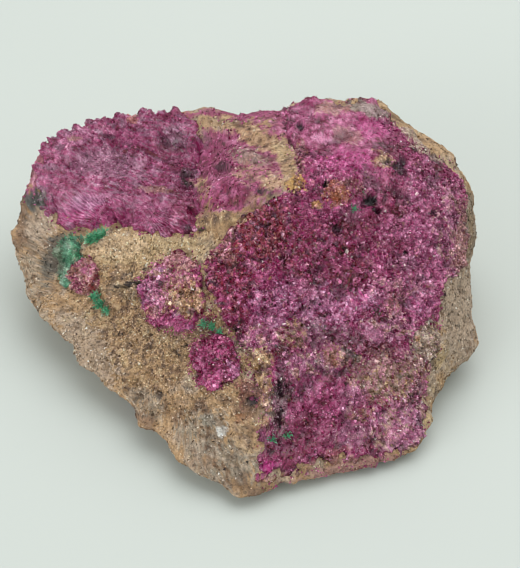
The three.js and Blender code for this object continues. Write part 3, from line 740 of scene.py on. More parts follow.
def stone_finish(name, grain, contrast, gloss, bump, shine=0.5, specks=None):
    """Stain times grain noise; roughness from another noise; a fine bump. `contrast` and
    `gloss` are the lowest and highest factor and roughness, `shine` scales how much light
    the faces mirror, and `specks` gives the wavelength and darkness of small dark spots."""
    material, add = finish_nodes(name)
    place = add("ShaderNodeTexCoord").outputs["Object"]
    stain = add("ShaderNodeAttribute", {"attribute_name": "stain"}).outputs["Color"]
    fine = noise_node(add, place, grain).outputs["Fac"]
    factor = ranged(add, fine, *contrast)
    if specks:
        spots = noise_node(add, place, specks[0], 1.0).outputs["Fac"]
        both = add("ShaderNodeMath", {"operation": "MULTIPLY"})
        for socket, value in zip(both.inputs, (factor, ranged(add, spots, specks[1], 1.0, *SPECK_EDGE))):
            both.id_data.links.new(value, socket)
        factor = both.outputs["Value"]
    tint = add("ShaderNodeVectorMath", {"operation": "SCALE"}, Vector=stain, Scale=factor)
    patchy = noise_node(add, place, grain * 3).outputs["Fac"]
    relief = noise_node(add, place, grain * 0.6, 3.0).outputs["Fac"]
    bumped = add("ShaderNodeBump", Strength=bump, Distance=BUMP_HEIGHT, Height=relief)
    shader = add("ShaderNodeBsdfPrincipled", Roughness=ranged(add, patchy, *gloss),
                 Normal=bumped.outputs["Normal"])
    shader.id_data.links.new(tint.outputs["Vector"], shader.inputs["Base Color"])
    shader.inputs["IOR"].default_value = DOLOMITE_IOR
    shader.inputs["Specular IOR Level"].default_value = shine
    add("ShaderNodeOutputMaterial", Surface=shader.outputs["BSDF"])
    return material


HOST_ROCK = stone_finish("sandy host rock", 0.3, (0.62, 1.12), (0.75, 0.95), 0.6,
                         specks=(0.55, 0.65))
PINK_DOLOMITE = stone_finish("glassy pink dolomite", 0.26, (0.6, 1.36), (0.12, 0.4), 0.35, 0.3)
MALACHITE = stone_finish("silky malachite", 0.2, (0.6, 1.3), (0.4, 0.6), 0.3)

# %% [markdown]
# ## The host rock
# The rock is one closed surface. A cube's grid is blown up onto the lump, so there are no
# thin triangles at poles, and the six sides are welded along their seams. More of the
# grid goes where the rock is seen closest: its directions are pulled towards the front.

# %% The rock's grid
LUMP_CELLS = 122  # cells along each side of the cube
LUMP_PROPORTION = np.array([36, 30, 15])  # evens out the grid on the flat lump
FRONT_PULL = np.array([-0.1, -0.3, 0.16])  # draws the grid to the front and up


def square_grid(ticks):
    """Both coordinates of each point of a square grid with these ticks, and its faces."""
    first, second = (grid.ravel() for grid in np.meshgrid(ticks, ticks, indexing="ij"))
    cells = len(ticks) - 1
    corner = np.arange(cells)[:, None, None] * (cells + 1) + np.arange(cells)[:, None]
    return first, second, (corner + [0, cells + 1, cells + 2, 1]).reshape(-1, 4)


def cube_grid(cells):
    """Directions through a cube's surface grid, tan-spaced so that its squares look
    alike from the middle, with their faces, welded where two sides meet."""
    first, second, quads = square_grid(np.tan(np.linspace(-1, 1, cells + 1) * math.pi / 4))
    points, faces = [], []
    for axis in range(3):
        for side in (-1.0, 1.0):
            face = np.empty((len(first), 3))
            face[:, axis] = side
            face[:, (axis + 1) % 3] = first
            face[:, (axis + 2) % 3] = second
            faces.append(quads + len(points) * len(first))
            points.append(face)
    points, faces = np.concatenate(points), np.concatenate(faces)
    _, kept, welded = np.unique(np.round(points, 6), axis=0, return_index=True, return_inverse=True)
    return points[kept], welded.ravel()[faces]


def pulled(ways):
    """The lump's skin in directions that are evened out over the flat lump and then
    pulled to its front."""
    return Skin(unit(unit(ways * LUMP_PROPORTION) + FRONT_PULL))


cube, rock_faces = cube_grid(LUMP_CELLS)
rock_skin = pulled(cube)
print("the rock's grid:", len(rock_skin.places), "points")

# %% [markdown]
# The rock's surface sinks under each crust, so that the crust's own surface shows. On the
# ridge beside the hollow it carries a few round knobs. Its grain is three soft noises.

# %% The rock's relief and stains
CRUST_BED = {"front_druse": 1.1, "hollow_crust": 1.0, "shoulder_druse": 0.8,
             "foot_druse": 0.7, "malachite_band": 0.5, "left_druse": 0.6}  # mm under a crust

# knobs of rock on the ridge: a place on it, and the knob's radius
KNOBS = [([-3.4, 4.6, 22.9], 1.6), ([-0.8, 7.6, 25.2], 1.5), ([0.5, 14.6, 25.8], 1.3),
         ([2.6, 20.5, 26.2], 1.5), ([-2.0, 25.4, 24.1], 1.7), ([-8.6, 3.1, 19.6], 1.1)]
DOME_REACH, DOME_HEIGHT = 1.2, 0.9  # in radii of the knob
DOME_POWER = 0.6  # under 1, so that a dome's side is steep
ROCK_GRAIN = [(2.2, 0.34, 54), (1.0, 0.2, 55), (0.5, 0.1, 56)]  # size, height, seed
ROCK_SUNK = 0.25  # mm, so that the knobs and grains end level
BED_EDGE = (0.92, 1.01)  # shares over which the rock rises beside a crust


def domes(skin, knobs):
    """How far domes stand over each place: the height times 1 - distance^2, to a power,
    where the distance from the knob's place is counted in reaches."""
    rise = np.zeros(len(skin.places))
    tops = Skin(bearing([place for place, _ in knobs])).places
    for top, (_, radius) in zip(tops, knobs):
        away = np.sum((skin.places - top) ** 2, axis=1) / (DOME_REACH * radius) ** 2
        rise = np.maximum(rise, DOME_HEIGHT * radius * np.maximum(1 - away, 0) ** DOME_POWER)
    return rise


ROCK_PITS = [
    # what, middle, reach, turn, depth in mm, darkness of the painted shade inside
    ("cleft under the ledge", (128, 285), (22, 3.2), -6, 1.0, 0.9),
    ("cave of the lower left edge", (136, 398), (7, 5), 25, 0.8, 0.35),
    ("brown cave beside it", (157, 396), (6, 4.5), 10, 0.9, 0.75),
    ("hole by the foot", (186, 345), (2.2, 2.6), 0, 0.7, 0.95),
    ("hole under it", (181, 353), (2.0, 2.0), 0, 0.5, 0.9),
    ("slit under the foot", (191, 388), (6, 2), 5, 0.5, 0.9),
    ("pit in the front", (252, 402), (6, 6), 0, 0.5, 1.0),
    ("crevice under the knob", (204, 227), (6, 3), 20, 0.9, 0.95),
    ("dark spot of the left end", (35, 199), (8, 9), 0, 0.3, 0.35),
    ("small cave of the left end", (46, 229), (5, 3), -10, 0.4, 0.5),
    ("small cave below it", (40, 252), (5, 3), -30, 0.4, 0.4),
    ("cave of the ridge", (221, 167), (8, 7), 0, 1.2, 0.7),
    ("dark between the knobs", (262, 192), (7, 5), 0, 0.7, 0.9),
    ("dark beside it", (276, 194), (5, 4), 0, 0.6, 0.9),
]

# the ridge between the hollow and the front, where the rock and the front's crust meet
RIDGE_PATCHES = [
    # what, stain, middle, reach, turn, strength
    ("magenta skyline", "raspberry", (245, 114), (62, 7), 0, 0.9),
    # a darker pink mottle down the ridge's wall beside the hollow: painted shade
    ("painted shade on the wall by the hollow", "deep sugar", (202, 164), (9, 30), 0, 0.8),
    ("olive knob", "tan sugar", (192, 137), (12, 11), 0, 0.9),
    ("arc, left", "sand sugar", (216, 124), (24, 7), -4, 0.9),
    ("arc, middle", "tan sugar", (257, 138), (31, 9), 28, 0.9),
    ("arc, right", "tan sugar", (287, 162), (9, 22), -8, 0.9),
    ("pink past the arc", "rosy sugar", (286, 124), (15, 15), 0, 0.9),
    ("pale in the arc", "sand", (280, 152), (6, 9), -20, 0.6),
    ("mauve left of the arc", "mauve grey", (205, 142), (9, 8), 0, 0.45),
    ("past the arc", "brown sugar", (299, 160), (6, 22), 5, 0.6),
    ("grey mottle", "grey sand", (249, 158), (20, 9), 20, 0.7),
    ("brown mottle", "brown sugar", (256, 175), (26, 11), 10, 0.8),
    ("pale knobs", "sand sugar", (273, 181), (12, 7), 0, 0.7),
    ("ochre", "ochre", (295, 184), (12, 9), 0, 0.9),
    ("olive nodule", "tan sugar", (203, 184), (6, 7), 0, 0.85),
    ("glassy plate", "rose", (199, 207), (10, 10), 0, 0.7),
    ("red above the block", "crimson sugar", (229, 196), (20, 12), 0, 0.7),
    ("pale knob beside it", "pink tan", (250, 202), (9, 6), 0, 0.85),
    ("pink above the block", "rosy sugar", (228, 209), (18, 5), 0, 0.8),
    ("tan block", "tan sugar", (222, 219), (25, 7), -5, 0.9),
    ("tan knob", "tan sugar", (197, 226), (8, 12), 0, 0.9),
]

ROCK_PATCHES = [
    # what, stain, middle, reach, turn, strength
    ("ledge", "sand", (150, 252), (62, 22), -4, 0.8),
    ("pale lip of the ledge", "pale sand", (120, 246), (30, 12), -4, 0.5),
    ("brown front of the ledge", "tan sugar", (128, 273), (34, 11), -2, 0.85),
    ("brown under the ledge", "umber", (122, 290), (28, 6), 0, 0.5),
    ("ochre under the cleft", "rust", (112, 306), (26, 12), 5, 0.35),
    ("left end", "grey sand", (36, 262), (20, 50), 0, 0.7),
    ("pale left end", "beige", (40, 222), (16, 18), 0, 0.8),
    # the next two darken the left end's far edge, which faces away from the lamps: painted shade
    ("brown left edge", "brown", (21, 222), (6, 32), 0, 0.8),
    ("painted shade of the left corner", "umber", (25, 206), (7, 20), 0, 0.6),
    ("dark band by the malachite", "dark grey", (54, 256), (9, 30), 24, 0.8),
    ("dark square of the left end", "dark grey", (35, 199), (11, 12), 0, 1.0),
    ("pale beside the band", "beige", (53, 216), (9, 9), 0, 0.4),
    ("tan face", "tan sugar", (130, 342), (62, 48), 30, 0.8),
    ("pale lower edge", "beige", (85, 350), (22, 45), -35, 0.7),
    ("brown middle", "brown", (182, 330), (26, 12), 20, 0.5),
    ("grey foot", "grey sand", (202, 432), (26, 26), 20, 0.85),
    ("chalk spot", "chalk", (222, 431), (7, 6), 20, 0.95),
    ("blue grey spot", "grey", (207, 420), (8, 7), 0, 0.7),
    ("red brown round the pit", "red brown", (250, 394), (14, 16), 0, 0.75),
    ("rusty spot", "rust", (247, 417), (7, 8), 0, 0.6),
    ("rusty edge", "rust", (256, 436), (6, 16), 0, 0.6),
    ("brown by the pit", "brown", (254, 412), (11, 14), 0, 0.6),
    ("sandy foot", "grey sand", (232, 462), (36, 26), -10, 0.9),
    ("brown lower edge", "umber", (246, 487), (44, 8), 0, 0.3),
    ("brown beside the foot", "brown", (202, 462), (14, 11), 0, 0.4),
    ("dark round the pit", "umber", (251, 400), (12, 18), 0, 0.35),
    ("ochre above it", "tan sugar", (248, 436), (14, 16), 0, 0.7),
    ("grey lower edge", "grey sand", (146, 402), (24, 12), 35, 0.7),
    ("pink left rim", "rosy sugar", (45, 160), (12, 36), 30, 0.7),
    ("pink of the ridge", "rosy sugar", (235, 165), (52, 50), 0, 0.95),
    ("cave's rim", "deep sugar", (222, 158), (16, 20), 10, 0.6),
    ("right wall", "beige", (460, 315), (20, 60), 0, 0.9),
    ("pink lower rim", "pink tan", (352, 468), (56, 9), -10, 0.8),
    ("grey nub", "dark grey", (471, 226), (7, 40), 0, 0.4),
]


ROCK_MARBLING = (["brown", "tan", "tan", "beige", "sand"], 5.0, 51)  # stains, size, seed
PINK_TINT = (11.0, 53)  # size of the tinted areas in mm, seed
PINK_TINT_FROM, PINK_TINT_FULL = 0.35, 0.7  # of that noise


def rock_stains(skin, lift):
    """Tan, marbled with brown and sand, then the patches; hidden sides keep the marbling
    and are tinted pink in a few places, where crystals have begun to grow. Hollows
    between the grains get painted shade: they are mixed towards umber."""
    places = skin.lifted(lift)
    spot = SheetSpot(places, skin.facing)
    pinkish = fade(soft_noise(places, *PINK_TINT), PINK_TINT_FROM, PINK_TINT_FULL)
    pinkish = pinkish * (1 - spot.seen)
    colours = marbled(places, *ROCK_MARBLING)
    colours = mixed(colours, PALETTE["pink tan"], 0.8 * pinkish[:, None])
    colours = stained(spot, colours, ROCK_PATCHES + RIDGE_PATCHES)
    # painted shade inside the pits
    colours = shaded(spot, colours, ROCK_PITS)
    # painted shade in the low places of the grain
    painted_hollow_shade = fade(layered_noise(skin.places, ROCK_GRAIN), 0, -0.35)
    return spot.grained(mixed(colours, PALETTE["umber"], 0.55 * painted_hollow_shade[:, None]))


def under_crusts(skin):
    """How far the rock's surface sinks below the crusts that cover it."""
    sink = np.zeros(len(skin.places))
    wave = layered_noise(skin.places, EDGE_WAVE)
    for name, depth in CRUST_BED.items():
        shares = ragged(name, OUTLINES[name].shares(skin.ways), wave)
        sink = np.maximum(sink, depth * (1 - fade(shares, *BED_EDGE)))
    return sink


def rock_lift(skin):
    """Height over the lump in mm: the grain and the knobs, less the pits and the beds of
    the crusts."""
    pits, _ = pitted(SheetSpot(skin.places, skin.facing), ROCK_PITS)
    grain = layered_noise(skin.places, ROCK_GRAIN)
    return grain + domes(skin, KNOBS) - ROCK_SUNK - pits - under_crusts(skin)


rock_height = rock_lift(rock_skin)
rock_places = rock_skin.lifted(rock_height)
rock_colours = rock_stains(rock_skin, rock_height)
rock_faces = facing_out(rock_skin.ways, rock_faces, rock_skin.ways)
make_piece("host_rock", rock_places, [rock_faces], rock_colours, HOST_ROCK, "matrix", smooth=True)

# %% [markdown]
# ## Crusts
# A crust is a sheet over its outline. A square grid is pressed into a disc, which keeps
# its cells nearly even, and the disc is stretched to the outline. The sheet's edge dives
# under the rock's surface, and a few rings below close it to one solid.

# %% A crust's grid
RIM_SHARE = 1.08  # share at the sheet's rim, past the outline
UNDER_SHARES = (0.7, 0.35, 0.0)  # rings that close a crust below
CRUST_EDGE = (0.96, 1.06)  # shares over which a crust dives to its bed


def disc_grid(cells):
    """Turns and shares of a square grid pressed into a disc (the larger of the two
    coordinates is the share, their ratio gives the turn), its faces, and its rim."""
    first, second, quads = square_grid(np.linspace(-1, 1, cells + 1))
    wide = np.abs(first) > np.abs(second)
    share = np.where(wide, first, second)
    other = np.where(wide, second, first) / np.where(share == 0, 1, share)
    turns = np.where(wide, math.pi / 4 * other, math.pi / 2 - math.pi / 4 * other)
    turns = np.where(share < 0, turns + math.pi, turns)
    side = np.arange(cells)
    width = cells + 1
    rim = np.concatenate([side * width, cells * width + side,
                          (cells - side) * width + cells, cells - side])
    return turns, np.abs(share), quads, rim


def crust_sheet(name, cells, relief):
    """The closed sheet of a crust: places, faces, and its outer skin with its lift."""
    outline = OUTLINES[name]
    turns, shares, quads, rim = disc_grid(cells)
    shares = shares * RIM_SHARE
    skin = Skin(outline.ways(turns, shares))
    lift = crust_lift(name, skin, shares, relief(skin))
    places = skin.lifted(lift)
    under = [Skin(outline.ways(turns[rim], np.full(len(rim), share))).lifted(-CRUST_BED[name])
             for share in UNDER_SHARES]
    starts = [rim] + [len(places) + k * len(rim) + np.arange(len(rim)) for k in range(len(under))]
    walls = [np.stack([high, np.roll(high, -1), np.roll(low, -1), low], axis=1)
             for high, low in zip(starts, starts[1:])]
    places = np.concatenate([places] + under)
    quads = facing_out(skin.ways, quads, skin.ways)
    closing = facing_out(places, np.concatenate(walls[1:]), -np.tile(outline.axis, (len(places), 1)))
    return places, [quads, walls[0][:, ::-1], closing], skin, lift


def crust_lift(name, skin, shares, relief):
    """Height over the rock: the relief inside, a ragged edge, and a rim on the bed."""
    edge = fade(ragged(name, shares, layered_noise(skin.places, EDGE_WAVE)), *CRUST_EDGE)
    return relief * (1 - edge) - CRUST_BED[name] * edge


def crust_roots(name, count, reach, chance):
    """Places spread evenly over a crust, and their shares: the square root of a random
    number, so that the middle isn't crowded."""
    shares = reach * np.sqrt(chance.uniform(0, 1, count))
    return Skin(OUTLINES[name].ways(chance.uniform(-math.pi, math.pi, count), shares)), shares


def with_underside(colours, places, stain):
    """The stains of a crust's sheet, and one stain for the rings that close it below."""
    return np.concatenate([colours, np.tile(PALETTE[stain], (len(places) - len(colours), 1))])


# %% [markdown]
# ## Dolomite crystals
# Dolomite grows as rhombs: cubes pushed along one diagonal, often with a corner pointing
# out. Thousands of them make a druse glitter. A few are whole rhombs. Most are sunk so
# deep in the crust that only the corner shows: three faces that meet in a point. Each
# kind is one small table of corners, turned and scaled for each crystal by whole-array
# products. Painted shade makes the deep corners darker, as light hardly gets down between
# the crystals, and a painted highlight makes the tips brighter.

# %% Rhombs and points
RHOMB_STRETCH = 0.8  # along the diagonal that points out
POINT_TOP, POINT_FOOT, POINT_SPREAD = 0.5, -0.3, 0.62
DEEP_SHADE, TIP_SHADE = 0.52, 1.4  # painted shade at a crystal's root and painted highlight at its tip, as brightness
UNEVEN_SIDES = (0.65, 1.35)  # smallest and largest share of its size a side has

cube_corners = np.array([(i, j, k) for i in (-1, 1) for j in (-1, 1) for k in (-1, 1)]) / 2
DIAGONAL = unit(np.array([1.0, 1.0, 1.0]))
ASIDE = unit(np.array([1.0, -1.0, 0.0]))
rhomb = cube_corners @ np.stack([ASIDE, np.cross(DIAGONAL, ASIDE), DIAGONAL], axis=1)
rhomb[:, 2] *= RHOMB_STRETCH
foot_turns = np.arange(3) * 2 * math.pi / 3
point_feet = np.stack([POINT_SPREAD * np.cos(foot_turns), POINT_SPREAD * np.sin(foot_turns),
                       np.full(3, POINT_FOOT)], axis=1)
CRYSTAL_SHAPES = {
    "rhombs": (rhomb, np.array([[0, 1, 3, 2], [4, 6, 7, 5], [0, 4, 5, 1], [2, 3, 7, 6],
                                [0, 2, 6, 4], [1, 5, 7, 3]])),
    "points": (np.concatenate([point_feet, [[0, 0, POINT_TOP]]]),
               np.array([[0, 1, 3], [1, 2, 3], [2, 0, 3], [0, 2, 1]])),
}
CRYSTAL_SHAPES["grains"] = CRYSTAL_SHAPES["points"]
ODDNESS = {"rhombs": 1.0, "points": 1.0, "grains": 1.9}  # how much a kind varies in tone


def standing(outward, lean, chance):
    """For each crystal, three directions square to each other: the way it points, which
    leans at random off its way out, after two beside it at a random turn."""
    pointing = unit(outward + lean * chance.normal(size=outward.shape))
    spin = chance.uniform(0, 2 * math.pi, len(outward))[:, None]
    level, upward = sideways(pointing)
    first = np.cos(spin) * level + np.sin(spin) * upward
    return np.stack([first, np.cross(pointing, first), pointing], axis=1)


def copies(shape, faces, roots, frames, sizes, stains, shades):
    """One joined mesh of a shape at each root: corners times size, turned to its frame.
    A copy has one stain, times a brightness for each corner: painted shade low down and a painted
    highlight up high."""
    places = roots[:, None] + np.einsum("nk,ck,nkx->ncx", sizes, shape, frames)
    faces = faces[None] + np.arange(len(roots))[:, None, None] * len(shape)
    colours = stains[:, None] * shades[None, :, None]
    return places.reshape(-1, 3), faces.reshape(-1, faces.shape[-1]), colours.reshape(-1, 3)


def crystals(kind, roots, outward, sizes, lean, stains, seed):
    """Crystals of a kind at the roots, leaning at random off their way out."""
    shape, faces = CRYSTAL_SHAPES[kind]
    chance = np.random.default_rng(seed)
    frames = standing(outward, lean, chance)
    scales = sizes[:, None] * chance.uniform(*UNEVEN_SIDES, (len(roots), 3))
    height = (shape[:, 2] - shape[:, 2].min()) / np.ptp(shape[:, 2])
    # painted shade at the roots and a painted highlight at the tips
    shades = mixed(DEEP_SHADE, TIP_SHADE, height)
    return copies(shape, faces, roots, frames, scales, stains, shades)


# %% [markdown]
# ## The front druse
# The broad pink crust of the front: a raspberry bed with pale, lilac and brown areas, and
# crystals of 0.1 to 0.8 mm. Pits and clefts reach into it, with painted shade inside.

# %% The front druse
FRONT_CELLS = 250
FRONT_CROWD = [
    # kind, how many, smallest and largest in mm; most are near the smaller
    ("points", 40000, (0.2, 0.6)), ("rhombs", 3000, (0.2, 0.42)), ("grains", 20000, (0.14, 0.3))]

# pits of the front: sunk, with painted shade inside
FRONT_PITS = [
    ("pit at the ridge's foot, left", (261, 192), (3, 4), 0, 0.8, 0.95),
    ("pit at the ridge's foot, right", (274, 193), (4, 3), 10, 0.8, 0.95),
    ("black pit beside the sprig", (323, 184), (4, 5.5), 0, 1.2, 1.0),
    ("long black pit", (369, 201), (9, 7), 10, 1.3, 1.0),
    ("tail of the black pit", (378, 210), (5, 4), 40, 1.0, 1.0),
    ("violet pit on the top", (399, 166), (9, 11), 20, 0.9, 0.75),
    ("pits right of the middle", (406, 254), (6, 3), 0, 0.6, 0.8),
    ("pit under the top edge", (299, 126), (6, 4), 20, 0.9, 0.9),
    ("pit right of the top", (385, 160), (6, 4), 0, 0.6, 0.7),
    ("violet pit in the middle", (336, 230), (6, 7), 0, 0.8, 0.55),
    ("blue black cleft, upper", (280, 390), (3, 12), -10, 0.8, 0.65),
    ("blue black cleft, lower", (281, 420), (3, 15), 5, 0.8, 0.75),
    ("dark hollow of the right", (432, 215), (6, 4), 0, 0.6, 0.7),
    ("dark hollow, mid left", (235, 330), (4, 3), 0, 0.5, 0.7),
]

FRONT_PATCHES = [
    # the upper left, sugary and red brown, and the deep left flank
    ("red sugar", "red sugar", (254, 234), (46, 34), -25, 0.95),
    ("brown left edge", "brown sugar", (218, 240), (16, 24), 30, 0.8),
    ("deep left flank", "crimson sugar", (230, 290), (30, 38), 10, 0.95),
    ("deep middle", "crimson sugar", (322, 258), (44, 32), 0, 0.9),
    ("violet sugar", "lilac sugar", (330, 240), (20, 10), 0, 0.2),
    ("magenta middle", "raspberry", (332, 264), (20, 14), 0, 0.6),
    ("brown under the sprig", "brown sugar", (352, 186), (13, 8), 0, 0.6),
    # the right side
    ("right side", "pale sugar", (430, 240), (36, 70), 0, 0.6),
    ("bright right side", "bright sugar", (416, 268), (38, 62), -5, 0.45),
    ("bright upper right", "bright sugar", (412, 186), (26, 18), 0, 0.5),
    ("pale right middle", "pale sugar", (404, 288), (44, 30), 0, 0.8),
    ("pale right edge", "pink grey sugar", (450, 228), (14, 48), 0, 0.7),
    ("red grains", "red sugar", (392, 194), (20, 22), 0, 0.4),
    ("deep streak", "deep raspberry", (388, 247), (26, 9), 5, 0.8),
    ("grey lilac", "mauve grey", (404, 263), (16, 8), 0, 0.6),
    ("beige right edge", "pink tan", (463, 250), (8, 52), 0, 0.8),
    # bright and lilac areas of the middle
    ("lilac sugar", "lilac sugar", (298, 308), (54, 28), 5, 0.8),
    ("grey sugar under it", "grey sugar", (318, 338), (44, 16), 0, 0.5),
    ("pale belt, left", "pink grey sugar", (258, 338), (22, 16), 0, 0.7),
    ("pale belt, middle", "pink grey sugar", (306, 364), (30, 13), 0, 0.75),
    ("brown ring", "brown sugar", (293, 336), (16, 14), 0, 0.9),
    ("dark in the ring", "umber", (291, 334), (7, 6), 0, 0.5),
    ("bright middle", "bright sugar", (361, 300), (25, 13), -12, 0.9),
    ("pale streak", "pale pink", (316, 294), (26, 4), 38, 0.6),
    ("brown between", "brown sugar", (395, 306), (11, 20), 0, 0.6),
    ("bright right", "bright sugar", (419, 299), (14, 18), 0, 0.8),
    ("pale under it", "pink grey sugar", (390, 330), (30, 14), 0, 0.8),
    ("grey tan right", "grey sand", (430, 344), (20, 24), 0, 0.9),
    ("pale grey in the tan", "beige", (432, 340), (12, 14), 0, 0.5),
    # the mottled belt below
    ("tan left foot", "tan sugar", (256, 366), (18, 22), 0, 0.95),
    ("tan under it", "tan sugar", (265, 400), (9, 30), 0, 0.8),
    ("tan mottle", "brown sugar", (344, 358), (24, 10), 18, 0.85),
    ("grey in the mottle", "dark grey", (351, 355), (11, 6), 30, 0.8),
    ("rusty bit", "rust", (330, 359), (6, 4), 10, 0.5),
    ("maroon streak", "maroon", (333, 374), (14, 4), 8, 0.8),
    ("brown sugar right", "brown sugar", (392, 384), (50, 25), -8, 0.95),
    # the lower tip
    ("deep lower half", "deep sugar", (312, 414), (26, 32), 0, 0.7),
    ("deep tip", "deep sugar", (302, 455), (46, 22), -8, 0.95),
    ("magenta of the tip", "deep raspberry", (306, 440), (34, 26), 0, 0.6),
    ("lilac sugar, lower", "pale sugar", (336, 400), (30, 19), 0, 0.9),
    ("brown spot", "brown sugar", (359, 414), (14, 8), 0, 0.8),
    ("magenta spot", "raspberry", (381, 408), (14, 8), 0, 0.6),
    ("pale lower right", "pink grey sugar", (402, 428), (32, 30), -10, 0.85),
    ("tan mottle, lower", "brown sugar", (386, 437), (14, 11), 0, 0.7),
    ("pale lower middle", "pink grey sugar", (352, 436), (20, 14), 0, 0.4),
    ("maroon stripe", "maroon", (368, 447), (12, 5), 30, 0.8),
    ("red lens", "red brown", (337, 454), (13, 6), -10, 0.6),
    ("bright tip", "bright magenta", (267, 469), (8, 9), 0, 0.9),
    ("black zone", "dark grey", (280, 406), (10, 34), 4, 0.6),
    ("grey nub", "dark grey", (473, 224), (7, 42), 0, 0.6),
    ("pale lower rim", "pink tan", (335, 467), (60, 5), -10, 0.85),
    ("tan lower rim", "tan", (280, 480), (34, 5), -10, 0.9),
    ("pink tan by the shoulder", "pink tan", (230, 262), (10, 10), 0, 0.5),
    ("pale band, right", "pink grey sugar", (402, 286), (36, 13), 0, 0.5),
    ("pale below the band", "pale pink", (376, 335), (15, 11), 0, 0.35),
    ("grey brown right", "grey sand", (390, 372), (44, 22), -5, 0.3),
    ("dark left of the mottle", "plum", (325, 364), (13, 9), 0, 0.45),
    ("dark below it", "plum", (303, 387), (12, 9), 0, 0.4),
    ("dark by the upper pit", "plum", (352, 214), (13, 9), 0, 0.4),
    ("grey of the lower right", "mauve grey", (352, 436), (16, 12), 0, 0.4),
    ("grey above it", "mauve grey", (350, 398), (14, 14), 0, 0.4),
    ("brown lower edge", "brown", (328, 463), (18, 6), -8, 0.45),
    ("pale right edge above", "pale pink", (450, 208), (8, 16), 0, 0.3),
    ("pale corner", "pale pink", (426, 163), (11, 9), 30, 0.35),
    ("pale right, lower", "pale pink", (424, 388), (9, 14), 0, 0.35),
    ("pale right, low", "pale pink", (402, 436), (14, 10), 0, 0.3),
    ("pale right of the band", "pale pink", (428, 286), (9, 10), 0, 0.3),
    ("dark in the lilac", "deep raspberry", (302, 287), (12, 9), 0, 0.4),
    ("dark of the left flank", "maroon", (228, 238), (11, 10), 0, 0.4),
    ("deep beside it", "deep raspberry", (428, 212), (11, 9), 0, 0.4),
    # the top
    ("magenta top", "rosy sugar", (340, 148), (40, 30), 5, 0.85),
    ("magenta of the top", "bright magenta", (345, 160), (30, 12), 5, 0.55),
    ("bright top", "bright magenta", (374, 128), (20, 12), 0, 0.4),
    ("mauve skyline", "mauve grey", (300, 114), (18, 7), 0, 0.4),
    ("pale spot", "pale pink", (321, 139), (9, 6), 0, 0.9),
    ("deep spot", "deep raspberry", (324, 151), (13, 6), 10, 0.85),
    ("beige mottle", "pink tan", (348, 135), (17, 9), 0, 0.6),
    ("beige top edge", "pink tan", (338, 108), (22, 8), 0, 0.85),
    ("grey top edge", "grey", (370, 108), (22, 8), 10, 0.75),
    ("beige rim", "beige", (428, 141), (44, 11), 34, 0.95),
    ("olive spot", "tan sugar", (382, 159), (10, 8), 0, 0.8),
    ("rusty patch", "rust", (335, 194), (15, 12), 40, 0.65),
    ("rust in it", "rust", (336, 199), (8, 8), 0, 0.6),
    ("ochre dot", "ochre", (316, 205), (5, 4), 0, 0.85),
]


FRONT_MARBLING = (["maroon", "deep raspberry", "raspberry", "raspberry", "rose"], 3.6, 74)
FRONT_PAINTED_SHADE_HEIGHTS = (0.05, -0.25)  # heights in mm between which it turns to plum, as painted shade in the low places
FRONT_LEVEL = 0.05  # mm
FRONT_KNOBS = [(3.2, 0.62, 71), (1.6, 0.5, 72), (0.8, 0.24, 73)]  # size, height, seed


def front_relief(skin):
    """Height of the front druse in mm: knobs of 3.2, 1.6 and 0.8 mm, and the pits."""
    depth, _ = pitted(SheetSpot(skin.places, skin.facing), FRONT_PITS)
    broad, rounded, fine = noises(skin.places, FRONT_KNOBS)
    return FRONT_LEVEL + (broad + np.abs(rounded)) + fine - depth


def front_stains(skin, lift):
    """Raspberry, marbled from maroon to rose, then the patches, painted shade in the low places, and the
    pits with painted shade inside.
    """
    places = skin.lifted(lift)
    spot = SheetSpot(places, skin.facing)
    colours = marbled(places, *FRONT_MARBLING)
    colours = uneven(stained(spot, colours, FRONT_PATCHES + RIDGE_PATCHES), places, 75)
    # painted shade: the low places are mixed towards plum
    colours = mixed(colours, PALETTE["plum"], 0.6 * fade(lift, *FRONT_PAINTED_SHADE_HEIGHTS)[:, None])
    return spot.grained(shaded(spot, colours, FRONT_PITS))


ODD_CRYSTALS = [
    # stain that some crystals have more of, their share of all, how much more
    ("pale pink", 0.06, 0.4), ("plum", 0.08, 0.3), ("lilac", 0.05, 0.4), ("tan", 0.04, 0.3),
    # chalk: a few near-white crystals that stand for glints, a painted highlight
    ("chalk", 0.006, 0.6)]
TONE_SPREAD = 0.1  # how much the crystals differ in tone


def varied(colours, chance, odd=1.0):
    """Each crystal's own tone from a bell curve, and a few crystals of each odd stain
    mixed towards it."""
    colours = toned(colours, odd * TONE_SPREAD * chance.normal(size=len(colours)))
    lot = chance.uniform(0, 1, len(colours))
    start = 0.0
    for stain, part, more in ODD_CRYSTALS:
        chosen = (lot >= start) & (lot < start + part)
        colours[chosen] = mixed(colours[chosen], PALETTE[stain], odd * more)
        start += part
    return colours


CROWD_REACH = 1.02  # share of a crust over which crystals stand
CROWD_LIFT, CROWD_LEAN = 0.03, 0.45  # mm over the bed; spread of the lean, 1 is 45 degrees

SMOOTH_AREAS = [
    # where the crystals are smaller: middle, reach, turn
    ("beige top edge", (345, 104), (60, 14), -3), ("beige rim", (430, 142), (52, 14), 34),
    ("magenta top", (335, 135), (60, 24), 5), ("lower rim", (330, 468), (90, 7), -10),
    ("right fan", (154, 217), (42, 18), 16), ("left fan", (88, 206), (36, 17), -8)]
SMOOTHING = 0.55  # how much smaller they are


